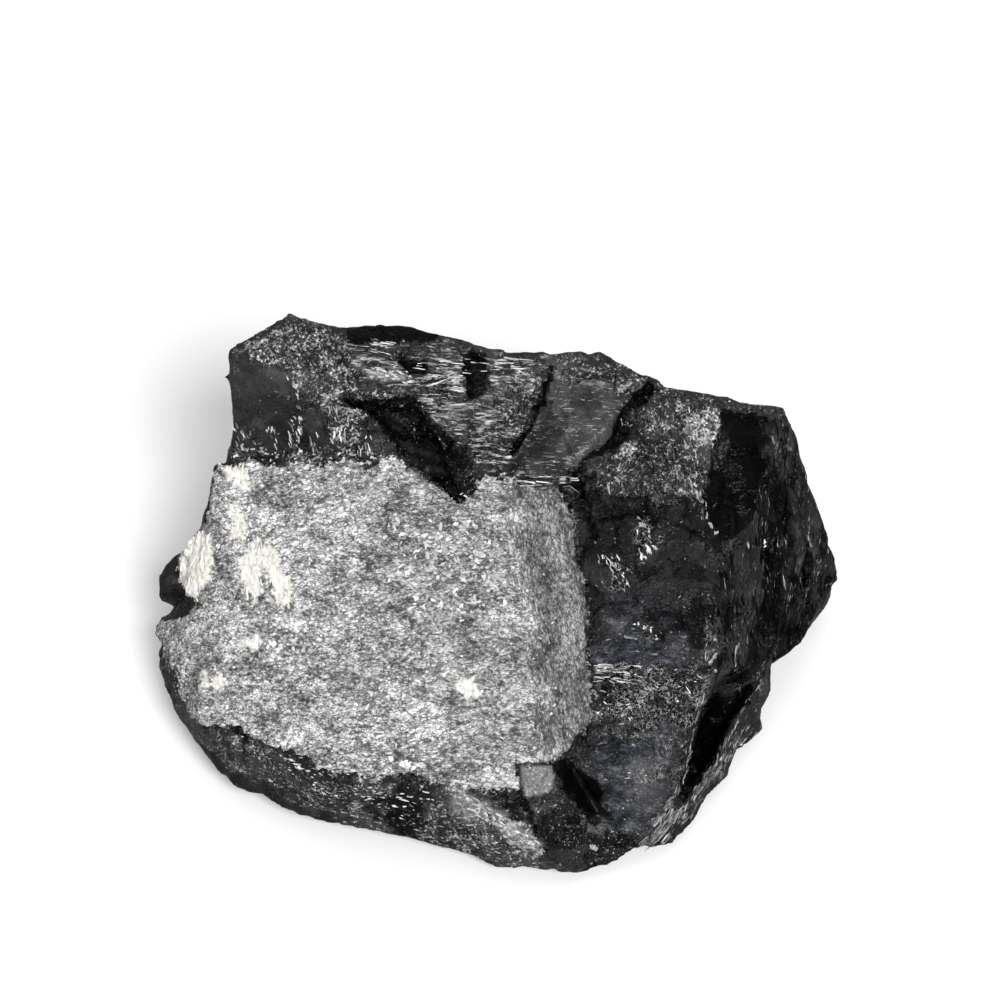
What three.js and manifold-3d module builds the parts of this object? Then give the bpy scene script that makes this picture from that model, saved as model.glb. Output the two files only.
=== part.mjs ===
// A broken lump of intergrown black tourmaline, with a sloping bed that carries its mica skin.
// Millimetres, +Z up. The origin is on the surface that it rests on, under the middle of the lump;
// +X runs along its longest side and -Y is the low side with the bed.
import * as THREE from "three";
import { ConvexGeometry } from "three/addons/geometries/ConvexGeometry.js";
import { TessellateModifier } from "three/addons/modifiers/TessellateModifier.js";
import { mergeVertices } from "three/addons/utils/BufferGeometryUtils.js";
import Module from "manifold-3d";

// Levels of the broad faces, measured up from the surface that the lump rests on.
const TOP_Z = 60;
const PLATEAU_BACK_Z = 49;
const PLATEAU_FRONT_Z = 38.5;
const BED_BACK_Z = 41;
const BED_FRONT_Z = 18;
const RIM_Z = 3;
const BURIED_Z = 14;

// Broken surface: the net of triangles, and the flat flakes that it breaks into.
const NET_EDGE = 10;
const NET_PASSES = 14;
const FLAKE_SIZE = 11;
const FLAKE_STEP = 1;
const FLAKE_TILT = 0.14;
const FLAKE_STRETCH = 2.6;
const CALM_HEIGHT = 2.5;
const WELD = 1e-3;

// Crystals that lie side by side in a face, each a long flat-faced spindle that stands a little proud.
// A face is given by its four corners, in the order first row's start and end, last row's start and end.
const CRYSTAL_FACES = [
  // Right flank.
  {
    corners: [[42, -3, 25], [48, 31, 39], [51, 3, 15], [58.4, 22, 17]],
    rows: 6, inRow: 3, length: 17, width: 4.5, height: 1.7, taper: 0.2, turn: 0.3,
  },
  // Front right.
  {
    corners: [[18, 12, 33], [37, 12, 34], [17.5, -20, 21.5], [35, -16.5, 21.5]],
    rows: 5, inRow: 2, length: 16, width: 9, height: 1.1, taper: 0.38, turn: 1.3,
  },
  // Front wall.
  {
    corners: [[-49, -17.5, 12], [12, -32, 15], [-48, -17.5, 5], [12, -38.5, 5]],
    rows: 3, inRow: 6, length: 13, width: 5, height: 1.1, taper: 0.35, turn: 0.4,
  },
  // Plateau back.
  {
    corners: [[-28, 38, 57.5], [4, 37.5, 49.5], [-25, 29, 53.5], [2, 27, 45.5]],
    rows: 5, inRow: 3, length: 13, width: 3.5, height: 0.9, taper: 0.42, turn: 0.2,
  },
  // Rounded block.
  {
    corners: [[29, 34, 44], [23, 21, 38], [41, 33, 42], [36, 20, 37.5]],
    rows: 2, inRow: 2, length: 13, width: 7, height: 0.6, taper: 0.35, turn: 0.5,
  },
  // Back.
  {
    corners: [[40, 40, 36], [-38, 41, 50], [44, 41, 10], [-38, 43, 10]],
    rows: 4, inRow: 4, length: 27, width: 13, height: 1.8, taper: 0.4, turn: 0.5,
  },
  // Left side.
  {
    corners: [[-44, 37, 44], [-55, 8, 14], [-44, 37, 12], [-52, 2, 5]],
    rows: 3, inRow: 3, length: 16, width: 10, height: 1, taper: 0.4, turn: 0.5,
  },
];

// Cuts in the broken surface.
const NARROW_GROOVE = { width: 1.3, depth: 1.3 };
const WIDE_GROOVE = { width: 3, depth: 1.8 };
const CLEAR_HEIGHT = 3;

// How deep a thin sheet's root lies under its face.
const SHEET_ROOT = 3;

const wasm = await Module();
wasm.setup();

// A bare position-only geometry with its shared corners merged, as a solid.
function solid(geometry) {
  geometry.deleteAttribute("normal");
  geometry.deleteAttribute("uv");
  const merged = mergeVertices(geometry, WELD);
  const vertProperties = new Float32Array(merged.attributes.position.array);
  const triVerts = new Uint32Array(merged.index.array);
  return new wasm.Manifold(new wasm.Mesh({ numProp: 3, vertProperties, triVerts }));
}

// A solid's surface as a geometry.
function surface(body) {
  const { numProp, vertProperties, triVerts } = body.getMesh();
  const geometry = new THREE.BufferGeometry();
  const count = vertProperties.length / numProp;
  const places = new Float32Array(count * 3);
  for (let i = 0; i < count; i++) {
    places.set(vertProperties.subarray(i * numProp, i * numProp + 3), i * 3);
  }
  geometry.setAttribute("position", new THREE.BufferAttribute(places, 3));
  geometry.setIndex(new THREE.BufferAttribute(new Uint32Array(triVerts), 1));
  return geometry;
}

// A flat-faced block: the convex hull of its corners.
function block(...corners) {
  return solid(new ConvexGeometry(corners.flat().map(([x, y, z]) => new THREE.Vector3(x, y, z))));
}

function join(...bodies) {
  return bodies.reduce((whole, body) => whole.add(body));
}

// The broad sloping bed at the front left and the low wall under its front edge.
function bed() {
  const slope = [
    [-50, 24.5, 37], [-34.5, 23.5, 40.5], [-16.5, 23.5, BED_BACK_Z], [-2.5, 20, 38.5],
    [11.5, 18, 36.5], [16, 7, 31], [16.5, -9, 26], [17, -20, 22], [11.5, -28.5, 20],
    [4.5, -33, BED_FRONT_Z], [-7.5, -32, BED_FRONT_Z], [-16, -29.5, 18.5], [-25, -31, 17.5],
    [-32, -26, 18], [-42, -21.5, 16.5], [-51, -17.5, 14], [-56.5, -9, 14], [-58, -1, 17],
    [-54, 9, 24.5], [-50.5, 18, 31],
  ];
  const swell = [[-34, -1, 30], [-16.5, -3, 32], [1, -9.5, 29.5], [6, 8, 33.5]];
  const rim = [
    [-59, 5, 12], [-60, 0.5, 9], [-58, -8, 7], [-53.3, -15.8, 6], [-45.5, -23, 5],
    [-36.5, -28, 4], [-26.5, -30.5, 4], [-16.5, -32.5, RIM_Z], [-7.5, -35, RIM_Z], [1, -37.5, RIM_Z],
    [10, -39.5, RIM_Z], [14, -39.5, RIM_Z],
  ];
  const foot = [[-46, 6, 0], [-40, -14, 0], [-20, -24, 0], [2, -33, 0], [14, -33, 0]];
  const back = [[-49, 26, 12], [-44, 24, 0], [14, 20, 0]];
  return block(slope, swell, rim, foot, back);
}

// The tall block at the back left, with its steep flat face and the rubble slope beside it.
function tallBlock() {
  const top = [
    [-46.5, 32.5, 58], [-39.5, 37.5, TOP_Z], [-36, 38.5, TOP_Z], [-32.5, 37, 59.5],
    [-25, 39, 57], [-46, 31, 58], [-36.5, 27, 56.5], [-29, 30.5, 55], [-26, 26, 52.5],
  ];
  const front = [[-47, 25, 38], [-34.5, 23.5, 40], [-47.5, 26, 30], [-25, 22, 39]];
  const back = [[-46, 40, 22], [-38, 44, 14], [-24, 45, 12], [-20, 40, 50], [-44, 34, 4]];
  const rubble = block(
    [[-32, 26, 52], [-26, 25, 51.5], [-18, 24.5, 49], [-33, 22, 43], [-26, 21, 42], [-17, 21.5, 41.5]],
    [[-34, 30, 30], [-16, 30, 30], [-34, 20, 34], [-16, 20, 34]],
  );
  return block(top, front, back).add(rubble);
}

// The back left of the plateau, which falls to the right, and the tooth at its front.
function plateauSlope() {
  const back = [
    [-26, 39.5, 57.2], [-17.5, 40.8, 55.2], [-9.5, 39.2, 52.8], [0, 38, 50.4], [6, 39, PLATEAU_BACK_Z + 1],
    [9, 38, PLATEAU_BACK_Z],
  ];
  const front = [[-26, 26.5, 52], [-14, 28, 50], [-9.5, 22.5, 46], [-3.5, 19, 41.5], [3.5, 20.5, 40]];
  const foot = [[-20, 28, BURIED_Z], [8, 14, BURIED_Z], [-22, 46, BURIED_Z], [12, 46, BURIED_Z]];
  const tooth = block(
    [[-7, 22, 46], [-4, 21, 44.5], [-3.5, 17, 40.5], [-6.5, 16, 39], [-9, 21, 44]],
    [[-5, 26, 36], [-2, 20, 36], [-7, 18, 35]],
  );
  return block(back, front, foot).add(tooth);
}

// The smooth sloping plate right of it, with the raised rim along its back.
function plate() {
  const face = [
    [8, 38, 48], [17, 39, 47.5], [26, 37, 45.5], [25.5, 30, 42.5], [21, 24, 40],
    [16, 20, 38], [9, 19.5, PLATEAU_FRONT_Z], [2, 20.5, 39.5],
  ];
  const foot = [[0, 16, BURIED_Z], [18, 14, BURIED_Z], [6, 46, BURIED_Z], [26, 46, BURIED_Z]];
  const rim = block(
    [[2, 39.5, 50], [6, 40, 50.2], [17, 40.5, 48.7], [23.5, 39, 47.2], [30, 36.5, 45.5], [7, 37.5, 48.6], [17, 38, 48.2]],
    [[24, 36.5, 46.4], [8, 44, 40], [30, 42, 38], [8, 36, 42], [30, 35, 40]],
  );
  return block(face, foot).add(rim);
}

// The rounded block right of the plateau.
function roundedBlock() {
  const top = [
    [28.5, 37, 45], [33.5, 36, 44], [45, 35.5, 42], [52, 34.5, 39.5], [43, 33.5, 42.5],
    [40, 29, 41], [26, 31, 43], [21, 24, 40], [17, 20.5, 38], [36.5, 21.5, 38.5],
  ];
  const front = [[14, 16, 34.5], [26, 16.5, 35.5], [36.5, 16, 35.5]];
  const foot = [[12, 12, BURIED_Z], [46, 12, BURIED_Z], [20, 45, 12], [48, 42, 10]];
  return block(top, front, foot);
}

// The dark lumps at the front right, each a step lower than the one behind it.
function frontRight() {
  const upper = block(
    [[13, 14, 34], [26, 15, 34], [38, 15, 35], [41, 7, 31], [40, -4, 27], [30, 5, 31], [18.5, 6, 30.5]],
    [[14, -4, 26], [38, -8, 25], [12, -12, 8], [38, -12, 8], [12, 22, 8], [44, 22, 8]],
  );
  const lower = block(
    [[12, -2, 27.5], [22, -3, 27.5], [38, -6, 26], [37.5, -13.5, 23], [35.5, -18, 20.5]],
    [[26, -20, 21], [15, -20.5, 21.5], [19, -22.5, 19.5], [30.5, -21.5, 18.5], [34, -22.3, 17.5]],
    [[12, -24, 4], [34, -20, 2], [12, 0, 4], [38, 0, 4]],
  );
  return upper.add(lower);
}

// The steep facet that falls from the lumps to the front rim, and the corner beside it.
function frontFacet() {
  const head = [[19, -22.5, 19], [30.5, -21.5, 18.5], [34, -22.3, 17.5], [32.4, -29, 12], [29, -28.5, 12]];
  const lip = [[28, -33.7, 6], [26.5, -35.5, RIM_Z], [29, -28.5, 8], [19.5, -32, 7.5]];
  const foot = [[21, -38, 2], [14, -39.5, 2], [12, -33, 0], [24, -28, 0], [32, -18, 0], [12, -20, 0]];
  const rear = [[14, -22, 19.5], [12, -28, 18]];
  return block(head, lip, foot, rear);
}

// The steep right flank, from the ridge down to the rim.
function flank() {
  const ridge = [
    [43, 33.5, 42.5], [38, 22, 38], [38, 14, 34], [38, 7, 31], [38, -3, 27], [37.5, -13.5, 23],
  ];
  const side = [
    [52, 34.5, 39.5], [53.5, 33, 36], [55.5, 30, 30], [58, 27, 24], [62, 22.5, 12],
    [62.5, 21, 8], [48, 11, 25.5], [47, -4, 17], [40, -12, 18], [44, -9, 13.5],
  ];
  const foot = [
    [58, 30, 6], [50, 42, 10], [36, 0, 0], [46, 10, 0], [54, 26, 0], [46, 36, 0], [36, -8, 4],
  ];
  return block(ridge, side, foot);
}

// The sharp flange outside the crevice, in two lengths with a bay between them.
function flange() {
  const rear = block(
    [[62.2, 20.5, 9], [59.5, 12.5, 9], [55.5, 5, 10], [50.5, -1, 11], [46, -1, 9]],
    [[62.5, 21, 3], [61.2, 18.5, 2], [55.2, 10, 3], [50.3, 4.2, 4]],
    [[52, 9, 0], [58, 20, 0], [50, 24, 0], [44, 2, 0]],
  );
  const front = block(
    [[50.5, -1, 11], [44.5, -9.5, 12], [42.5, -14.5, 11], [39, -21, 9.5], [33.5, -27.5, 8]],
    [[28, -33.5, 6], [25.5, -36, 4], [48, -0.5, 3], [41.5, -19.5, 2], [34.8, -29, 2], [31, -33, 2]],
    [[26, -30, 0], [40, -12, 0], [44, 0, 0], [24, -28, 0]],
  );
  return rear.add(front);
}

function toe() {
  const outer = [[48, -9.5, 3], [47.5, -4, 3], [45, -12.5, 2], [46, -9, 7]];
  const inner = [[40, -8, 8], [42, -2, 6], [40, -14, 0], [44, -6, 0]];
  return block(outer, inner);
}

// The knobs on the left edge with a notch between them, and the shoulder above them.
function knobs() {
  const shoulder = block(
    [[-51, 18, 30], [-54.5, 16, 28], [-56, 13, 26], [-52, 8, 25]],
    [[-46, 18, 20], [-52, 17, 18], [-48, 6, 18]],
  );
  const dark = block(
    [[-61, 14, 18], [-59, 15.5, 22], [-56, 15, 25], [-60.5, 10, 16.5], [-56.5, 10, 23.5]],
    [[-50, 18, 10], [-50, 8, 10], [-50, 12, 23]],
  );
  const pale = block(
    [[-61.3, 7, 12], [-61, 4.5, 12], [-58.5, 2, 16], [-60, 7, 14.5]],
    [[-50, 8, 10], [-50, 0, 10], [-54, 4, 18]],
  );
  return join(shoulder, dark, pale);
}

// The black notch between the knobs.
function notch() {
  const mouth = [[-62, 10.5, 17], [-62, 7.5, 16], [-51, 6, 26], [-52, 9.5, 27]];
  const depth = [[-54, 8.5, 16], [-50, 8, 21]];
  return block(mouth, depth);
}

// The hollow under the left edge of the plateau.
function hollow() {
  const mouth = [[-23, 25.5, 50.5], [-14.5, 25.5, 50.5], [-9, 21, 45], [-10.5, 18, 42.5], [-16, 20, 43.5]];
  const depth = [[-21, 29, 48.5], [-13, 30, 47.5], [-9.5, 25, 42.5], [-15, 26, 42.5]];
  return block(mouth, depth);
}

// A place in a face, from its first row to its last and from a row's start to its end.
function placeInFace([start, end, lastStart, lastEnd], down, along) {
  const left = start.clone().lerp(lastStart, down);
  return left.lerp(end.clone().lerp(lastEnd, down), along);
}

// One crystal: a spindle with two tips, a flat-sided crest and a buried root.
function crystal(heart, run, out, { length, width, height, taper }) {
  const side = new THREE.Vector3().crossVectors(out, run);
  const at = (along, across, up) => heart.clone().addScaledVector(run, along * length)
    .addScaledVector(side, across * width).addScaledVector(out, up * height).toArray();
  const tips = [at(-0.5, -0.1, 0), at(0.5, 0.1, 0)];
  const crest = [at(-0.3, 0.15, 1), at(0.3, 0.1, 1), at(0.28, -0.2, 0.8)];
  const flanks = [at(-taper, 0.5, 0), at(taper, 0.45, 0), at(-taper, -0.5, 0), at(taper, -0.5, 0)];
  return block(tips, crest, flanks, [at(0, 0, -3)]);
}

// The crystals of one face, in rows, each with its own size and turn.
function crystalFace({ corners, rows, inRow, length, width, height, taper, turn }, salt) {
  const places = corners.map((corner) => new THREE.Vector3(...corner));
  const along = places[1].clone().sub(places[0]).normalize();
  const down = places[2].clone().sub(places[0]);
  const out = new THREE.Vector3().crossVectors(down, along).normalize();
  const crystals = [];
  for (let row = 0; row < rows; row++) {
    for (let i = 0; i < inRow; i++) {
      const share = (n) => 0.65 + 0.7 * chance(row, i, n, salt);
      const shift = (row % 2) * 0.5 + 0.4 * chance(row, i, 4, salt);
      const across = (row + 0.2 + 0.6 * chance(row, i, 6, salt)) / rows;
      const heart = placeInFace(places, across, Math.min(i + shift + 0.2, inRow - 0.3) / inRow);
      const run = along.clone().applyAxisAngle(out, (chance(row, i, 5, salt) - 0.5) * turn);
      const size = { length: length * share(0), width: width * share(1), height: height * share(2), taper };
      crystals.push(crystal(heart, run, out, size));
    }
  }
  return join(...crystals);
}

function crystals() {
  return join(...CRYSTAL_FACES.map((face, i) => crystalFace(face, 10 * (i + 1))));
}

// A thin sheet that stands a little proud of the face under it, from its upper corners.
function sheet(corners) {
  const under = corners.map(([x, y, z]) => [x, y + SHEET_ROOT / 2, z - SHEET_ROOT]);
  return block(corners, under);
}

// The ledges of the plateau.
function sheets() {
  return join(
    sheet([[-24, 29.5, 54.8], [-12, 29, 53.3], [-7, 31.5, 53], [-21, 33, 56]]),
    sheet([[-12, 32.5, 53.2], [-4, 32, 51.8], [-4.5, 36, 52.8], [-13, 36.5, 54.3]]),
    sheet([[-1.5, 33.5, 50], [5.5, 33.5, 48.3], [6.5, 37.5, 49.2], [-2, 37.5, 50.9]]),
    sheet([[4.5, 18.2, 38.8], [14.5, 18.6, 38], [14, 21, 39.2], [5, 20.8, 40.2]]),
  );
}

// The rough back and the buried heart that the faces stand on.
function heart() {
  const upper = [[-44, 34, 40], [-26, 26, 45], [-20, 38, 48], [20, 37, 42], [46, 32, 34]];
  const rear = [[-40, 41, 16], [-10, 45, 18], [24, 44, 14], [48, 39, 14]];
  const foot = [[-42, 30, 0], [-20, 38, 0], [20, 38, 0], [46, 34, 0], [-40, 0, 0], [36, -6, 0]];
  const front = [[-20, -10, 10], [16, -10, 14], [36, 0, 14]];
  const sill = block(
    [[28, -28, 5], [38, -16, 4], [46, -6, 4], [36, -2, 8], [16, -22, 8], [14, 4, 8]],
    [[28, -28, 0], [38, -14, 0], [44, -4, 0], [36, 4, 0], [10, 6, 0], [10, -28, 0]],
  );
  return block(upper, rear, foot, front).add(sill);
}

// A number from 0 to 1 that is always the same for the same cell.
function chance(i, j, k, salt) {
  const wave = Math.sin(i * 127.1 + j * 311.7 + k * 74.7 + salt * 53.9) * 43758.5453;
  return wave - Math.floor(wave);
}

// How far the flake that holds a place stands out: flat flakes at their own heights and tilts.
function flakeHeight(place, size, salt) {
  const cell = place.clone().divideScalar(size);
  const [ci, cj, ck] = cell.toArray().map(Math.floor);
  const nearest = { gap: Infinity, height: 0 };
  for (let i = ci - 1; i <= ci + 1; i++) {
    for (let j = cj - 1; j <= cj + 1; j++) {
      for (let k = ck - 1; k <= ck + 1; k++) {
        const [x, y, z] = [0, 1, 2].map((n) => chance(i, j, k, salt + n));
        const away = cell.clone().sub(new THREE.Vector3(i + x, j + y, k + z));
        if (away.lengthSq() < nearest.gap) {
          const tilt = [3, 4, 5].map((n) => chance(i, j, k, salt + n) - 0.5);
          const lean = away.dot(new THREE.Vector3(...tilt)) * size * FLAKE_TILT * 2;
          nearest.gap = away.lengthSq();
          nearest.height = (chance(i, j, k, salt + 6) - 0.5) * FLAKE_STEP + lean;
        }
      }
    }
  }
  return nearest.height;
}

// How strongly the surface is broken at a place: calm on the bed, the plate and the foot.
function roughness(place, normal) {
  const foot = THREE.MathUtils.smoothstep(place.z, 0, CALM_HEIGHT);
  const facesUp = normal.z > 0.75;
  const onBed = facesUp && place.x < 16 && place.y < 23 && place.z < BED_BACK_Z;
  const onPlate = facesUp && place.x > -2 && place.x < 26 && place.y > 19;
  const calm = onBed ? 0.25 : onPlate ? 0.15 : 1;
  return foot * calm;
}

// The flakes of the right flank are long lenses that run down it.
function flakePlace(place) {
  const onFlank = THREE.MathUtils.smoothstep(place.x, 38, 44);
  return new THREE.Vector3(place.x, place.y, place.z * (1 - onFlank * (1 - 1 / FLAKE_STRETCH)));
}

// The block faces netted into small triangles and broken into flakes.
function broken(body) {
  const net = new TessellateModifier(NET_EDGE, NET_PASSES).modify(surface(body).toNonIndexed());
  const geometry = mergeVertices(net, WELD);
  geometry.computeVertexNormals();
  const places = geometry.attributes.position;
  const normals = geometry.attributes.normal;
  const place = new THREE.Vector3();
  const normal = new THREE.Vector3();
  for (let i = 0; i < places.count; i++) {
    place.fromBufferAttribute(places, i);
    normal.fromBufferAttribute(normals, i);
    const height = flakeHeight(flakePlace(place), FLAKE_SIZE, 0) * roughness(place, normal);
    place.addScaledVector(normal, height);
    places.setXYZ(i, place.x, place.y, place.z);
  }
  return solid(geometry);
}

// A V-shaped groove along a path of places on the surface; its cutter opens on upwards, clear of the rock.
function groove(path, { width, depth }) {
  const course = new THREE.Vector2(path.at(-1)[0] - path[0][0], path.at(-1)[1] - path[0][1]);
  const side = new THREE.Vector2(course.y, -course.x).setLength(width / 2 * (1 + CLEAR_HEIGHT / depth));
  const sections = path.map(([x, y, z]) => [
    [x + side.x, y + side.y, z + CLEAR_HEIGHT], [x - side.x, y - side.y, z + CLEAR_HEIGHT], [x, y, z - depth],
  ]);
  return join(...sections.slice(1).map((section, i) => block(sections[i], section)));
}

function grooves() {
  const narrow = groove([[9.5, 36.8, 47.5], [3.2, 23, 40.8]], NARROW_GROOVE);
  const course = [[26.5, 35.5, 45], [24.6, 30, 42.5], [19.7, 23.8, 39.5], [14, 19.5, 37.5]];
  return narrow.add(groove(course, WIDE_GROOVE));
}

// The crevice between the front corner and the flange.
function crevice() {
  const mouth = [[39, -12, 26], [36, -21, 22], [33.5, -28, 14], [46, -7, 20], [41, -19, 14], [34, -27, 12]];
  const depth = [[42, -6, 4.5], [39, -12, 3], [36.5, -18, 3], [33.5, -25, 5.5]];
  return block(mouth, depth);
}

// The slanting slot in the front wall.
function slot() {
  const mouth = [[9, -31, 22], [12.5, -29, 22], [17, -34, 13], [20, -34, 11], [20, -37, 8], [16, -37, 12]];
  const depth = [[12, -24, 17], [18, -29, 8]];
  return block(mouth, depth);
}

// The dark pit in the back ledge of the plateau.
function pit() {
  const mouth = [[-5, 36, 56], [-2, 35.5, 56], [-3.5, 31, 55], [-1.5, 31, 54]];
  const depth = [[-3.5, 34, 48.5], [-2.5, 32, 48.5]];
  return block(mouth, depth);
}

// Shallow scars broken out of the underside; what is left between them is the flat that the lump rests on.
function scars() {
  const scar = ([x, y], [width, depth, height], turn) => {
    const shape = new THREE.IcosahedronGeometry(0.5, 0).scale(width, depth, 2 * height);
    return solid(shape.rotateZ(turn).translate(x, y, 0));
  };
  return join(
    scar([-30, 14], [34, 16, 3.2], 0.4), scar([-8, -20], [36, 14, 2.6], -0.2),
    scar([22, 22], [40, 18, 3.6], 0.2), scar([34, -8], [20, 12, 2.4], 0.9),
  );
}

// The outer skin alone: overlapping pieces can leave specks of air sealed between them.
function outerSkin(body) {
  return body.decompose().reduce((most, piece) => (piece.volume() > most.volume() ? piece : most));
}

function wholeRock() {
  const blocks = join(
    heart(), bed(), tallBlock(), plateauSlope(), plate(), roundedBlock(), frontRight(),
    frontFacet(), flank(), flange(), toe(), knobs(),
  );
  const cuts = join(grooves(), crevice(), slot(), pit(), hollow(), notch(), scars());
  return outerSkin(join(broken(blocks), crystals(), sheets()).subtract(cuts));
}

// The corners above are measured from near the middle; this puts the origin under the middle of the box.
function centred(mesh) {
  mesh.geometry.computeBoundingBox();
  const middle = mesh.geometry.boundingBox.getCenter(new THREE.Vector3());
  mesh.position.set(-middle.x, -middle.y, 0);
  return mesh;
}

const group = new THREE.Group();
const schorl = new THREE.MeshStandardMaterial({ color: 0x1b1b1d, roughness: 0.35, metalness: 0 });
const rock = centred(new THREE.Mesh(surface(wholeRock()), schorl));
rock.name = "tourmaline_rock";
group.add(rock);

export default group;
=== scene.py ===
"""A broken lump of black tourmaline with silvery mica and cream feldspar, on a pale studio floor."""

import math

import bmesh
import bpy
import numpy as np
from mathutils import Matrix, Quaternion, Vector, noise
from mathutils.bvhtree import BVHTree

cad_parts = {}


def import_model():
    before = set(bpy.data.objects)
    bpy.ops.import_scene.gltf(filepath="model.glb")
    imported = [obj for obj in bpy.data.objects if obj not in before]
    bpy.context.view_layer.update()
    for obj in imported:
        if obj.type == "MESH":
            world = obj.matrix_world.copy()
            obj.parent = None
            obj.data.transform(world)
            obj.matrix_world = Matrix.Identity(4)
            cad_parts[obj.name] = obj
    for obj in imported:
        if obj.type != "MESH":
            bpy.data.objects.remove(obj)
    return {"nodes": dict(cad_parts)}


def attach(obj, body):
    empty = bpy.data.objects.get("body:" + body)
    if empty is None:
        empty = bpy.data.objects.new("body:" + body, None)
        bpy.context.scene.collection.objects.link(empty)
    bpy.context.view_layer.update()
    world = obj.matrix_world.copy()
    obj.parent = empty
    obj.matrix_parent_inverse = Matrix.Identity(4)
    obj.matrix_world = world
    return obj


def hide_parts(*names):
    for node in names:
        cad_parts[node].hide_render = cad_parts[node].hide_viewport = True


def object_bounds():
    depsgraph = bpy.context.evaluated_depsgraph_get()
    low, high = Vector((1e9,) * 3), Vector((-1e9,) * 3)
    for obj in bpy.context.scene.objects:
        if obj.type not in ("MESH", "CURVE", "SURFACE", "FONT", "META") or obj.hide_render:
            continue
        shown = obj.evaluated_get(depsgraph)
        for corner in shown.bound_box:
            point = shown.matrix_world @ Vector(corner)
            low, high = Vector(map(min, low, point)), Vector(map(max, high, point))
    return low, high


MM = 0.001
TINY = 1e-9

# The front view that the markings are laid out in: a square, seen from above the low front side.
EYE = Vector((0.045, -366.449, 488.853)) * MM
EYE_PITCH = math.radians(40)
LENS = 120
SENSOR = 36
VIEW_WIDTH = 1000
VIEW_HALF = VIEW_WIDTH / 2
VIEW_FOCUS = LENS / SENSOR * VIEW_WIDTH
VIEW_RIGHT = Vector((1, 0, 0))
VIEW_UP = Vector((0, math.cos(EYE_PITCH), math.sin(EYE_PITCH)))
VIEW_BACK = Vector((0, -math.sin(EYE_PITCH), math.cos(EYE_PITCH)))

# Fineness of the two meshes that make the surface.
ROCK_VOXEL = 0.62 * MM
SKIN_VOXEL = 0.36 * MM
FACET_ANGLE = math.radians(28)

# How far the surface departs from the plain form: in relief, in pits and in the crust of mica, which starts
# below it and drops at its edge. The foot of the rock stays flat, and a share under a trace has no effect.
RELIEF_LIMIT = 0.8 * MM
PIT_DEPTH = 1.5 * MM
SKIN_RISE = 0.3 * MM
SKIN_DEPTH = 1.2 * MM
EDGE_DROP = 0.2 * MM
FOOT_LOW = 0.2 * MM
FOOT_HIGH = 2.0 * MM
WEAR_ROUNDS = 45
TRACE = 0.02

# How the surface turns, from -1 to 1: towards the eye, on the walls of openings, to the right, and down. Then
# where the right end starts, and how much dust and how many fibres the hidden sides have.
SEEN_FACING = 0.0, 0.25
WALL_FACING = -0.6, -0.3
RIGHT_FACING = 0.35, 0.6
DOWN_FACING = -0.9
RIGHT_END = 35 * MM, 45 * MM
HIDDEN = {"dust": 0.15, "fibres": 0.2}

# How ragged outlines are: by how many units of the front view, and over what distance.
BROAD_RAGS = 13, 4.5 * MM
FINE_RAGS = 6, 1.5 * MM
MICA_RAGS = 4.5, 1.4 * MM
CREAM_RAGS = 8, 3 * MM
CREAM_CRUMBS = 7, 1 * MM
LOOSE_RAGS = 16, 5 * MM

# Directions of growth: along the right flank's long crystals, and up the steep faces.
FLANK_RUN = Vector((0.1, -0.91, -0.4)).normalized()
FLANGE_RUN = Vector((-0.64, -0.6, -0.48)).normalized()
LEDGE_RUN = Vector((1, 0, 0))
BED_RUN = Vector((0.15, -0.85, -0.5)).normalized()

# The seed of the noise, so that each run gives the same rock. The small plates: the seeds of their draws, their
# sides, and the slope that they don't lie on.
NOISE_SEED = 7
FLAKE_SEED, FLAKE_SIDES = 11, 6
BLADE_SEED, BLADE_SIDES = 23, 4
STEEP = 0.75

# Small faces in the rock's finish: their size in millimetres, and their shares in its tones and its relief.
FACES = ((3.4, 0.4, 0.5), (1.1, 0.2, 0.35), (8.0, 0.42, 0.4))
FINE_SHARE = 0.05


def grey(level):
    return level, level, level, 1


# Colours.
BLACK = grey(0.001)
# A painted bluish reflection: its deep and its light tone.
BLUE_SHEEN_DEEP = (0.05, 0.056, 0.073, 1)
BLUE_SHEEN_LIGHT = (0.16, 0.17, 0.2, 1)
# Painted sheen: the grey of sheen and of scales stands in for light reflected by glossy faces.
SHEEN_GREY = (0.045, 0.045, 0.048, 1)
SCALE_GREY = (0.065, 0.065, 0.067, 1)
SMOOTH_GREY = grey(0.3)
MARK_SILVER = grey(0.8)
FLAKE_DEEP = grey(0.03)
FLAKE_LIGHT = grey(1)
CREAM_DEEP = (0.5, 0.48, 0.43, 1)
CREAM_LIGHT = (0.9, 0.89, 0.86, 1)
BLADE_DEEP = (0.5, 0.47, 0.4, 1)
BLADE_LIGHT = (1, 0.99, 0.96, 1)
MICA_TONES = ((0.0, 0.03), (0.2, 0.14), (0.36, 0.31), (0.5, 0.5), (0.64, 0.7), (0.8, 0.9), (1.0, 1.0))

# The stage: half the floor's side in metres, each lamp's direction, strength and width in degrees, and each
# glowing wall's direction, with its light where it starts and where it is full.
FLOOR_HALF = 4
LAMPS = {
    "key_lamp": ((0.3, -0.62, 0.72), 2.75, 24),
    "low_lamp": ((0.45, -0.62, 0.45), 0.45, 45),
    "edge_lamp": ((0.8, 0.55, 0.2), 0.4, 20),
}
GLOWS = (
    ((-0.1, 0.6, 0.8), (0.6, 0), (0.9, 0.9)),
    ((-0.35, -0.9, 0.35), (0.55, 0), (0.9, 1.0)),
)
STUDIO_FILL = 0.12


# ---------------------------------------------------------------- markings

def area(soft, *outlines, **shares):
    """A zone of the rock: how soft its edge is, its outlines, and how much of what it has."""
    return {"soft": soft, "outlines": outlines, "ragged": 1, "opening": 0, **shares}


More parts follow.
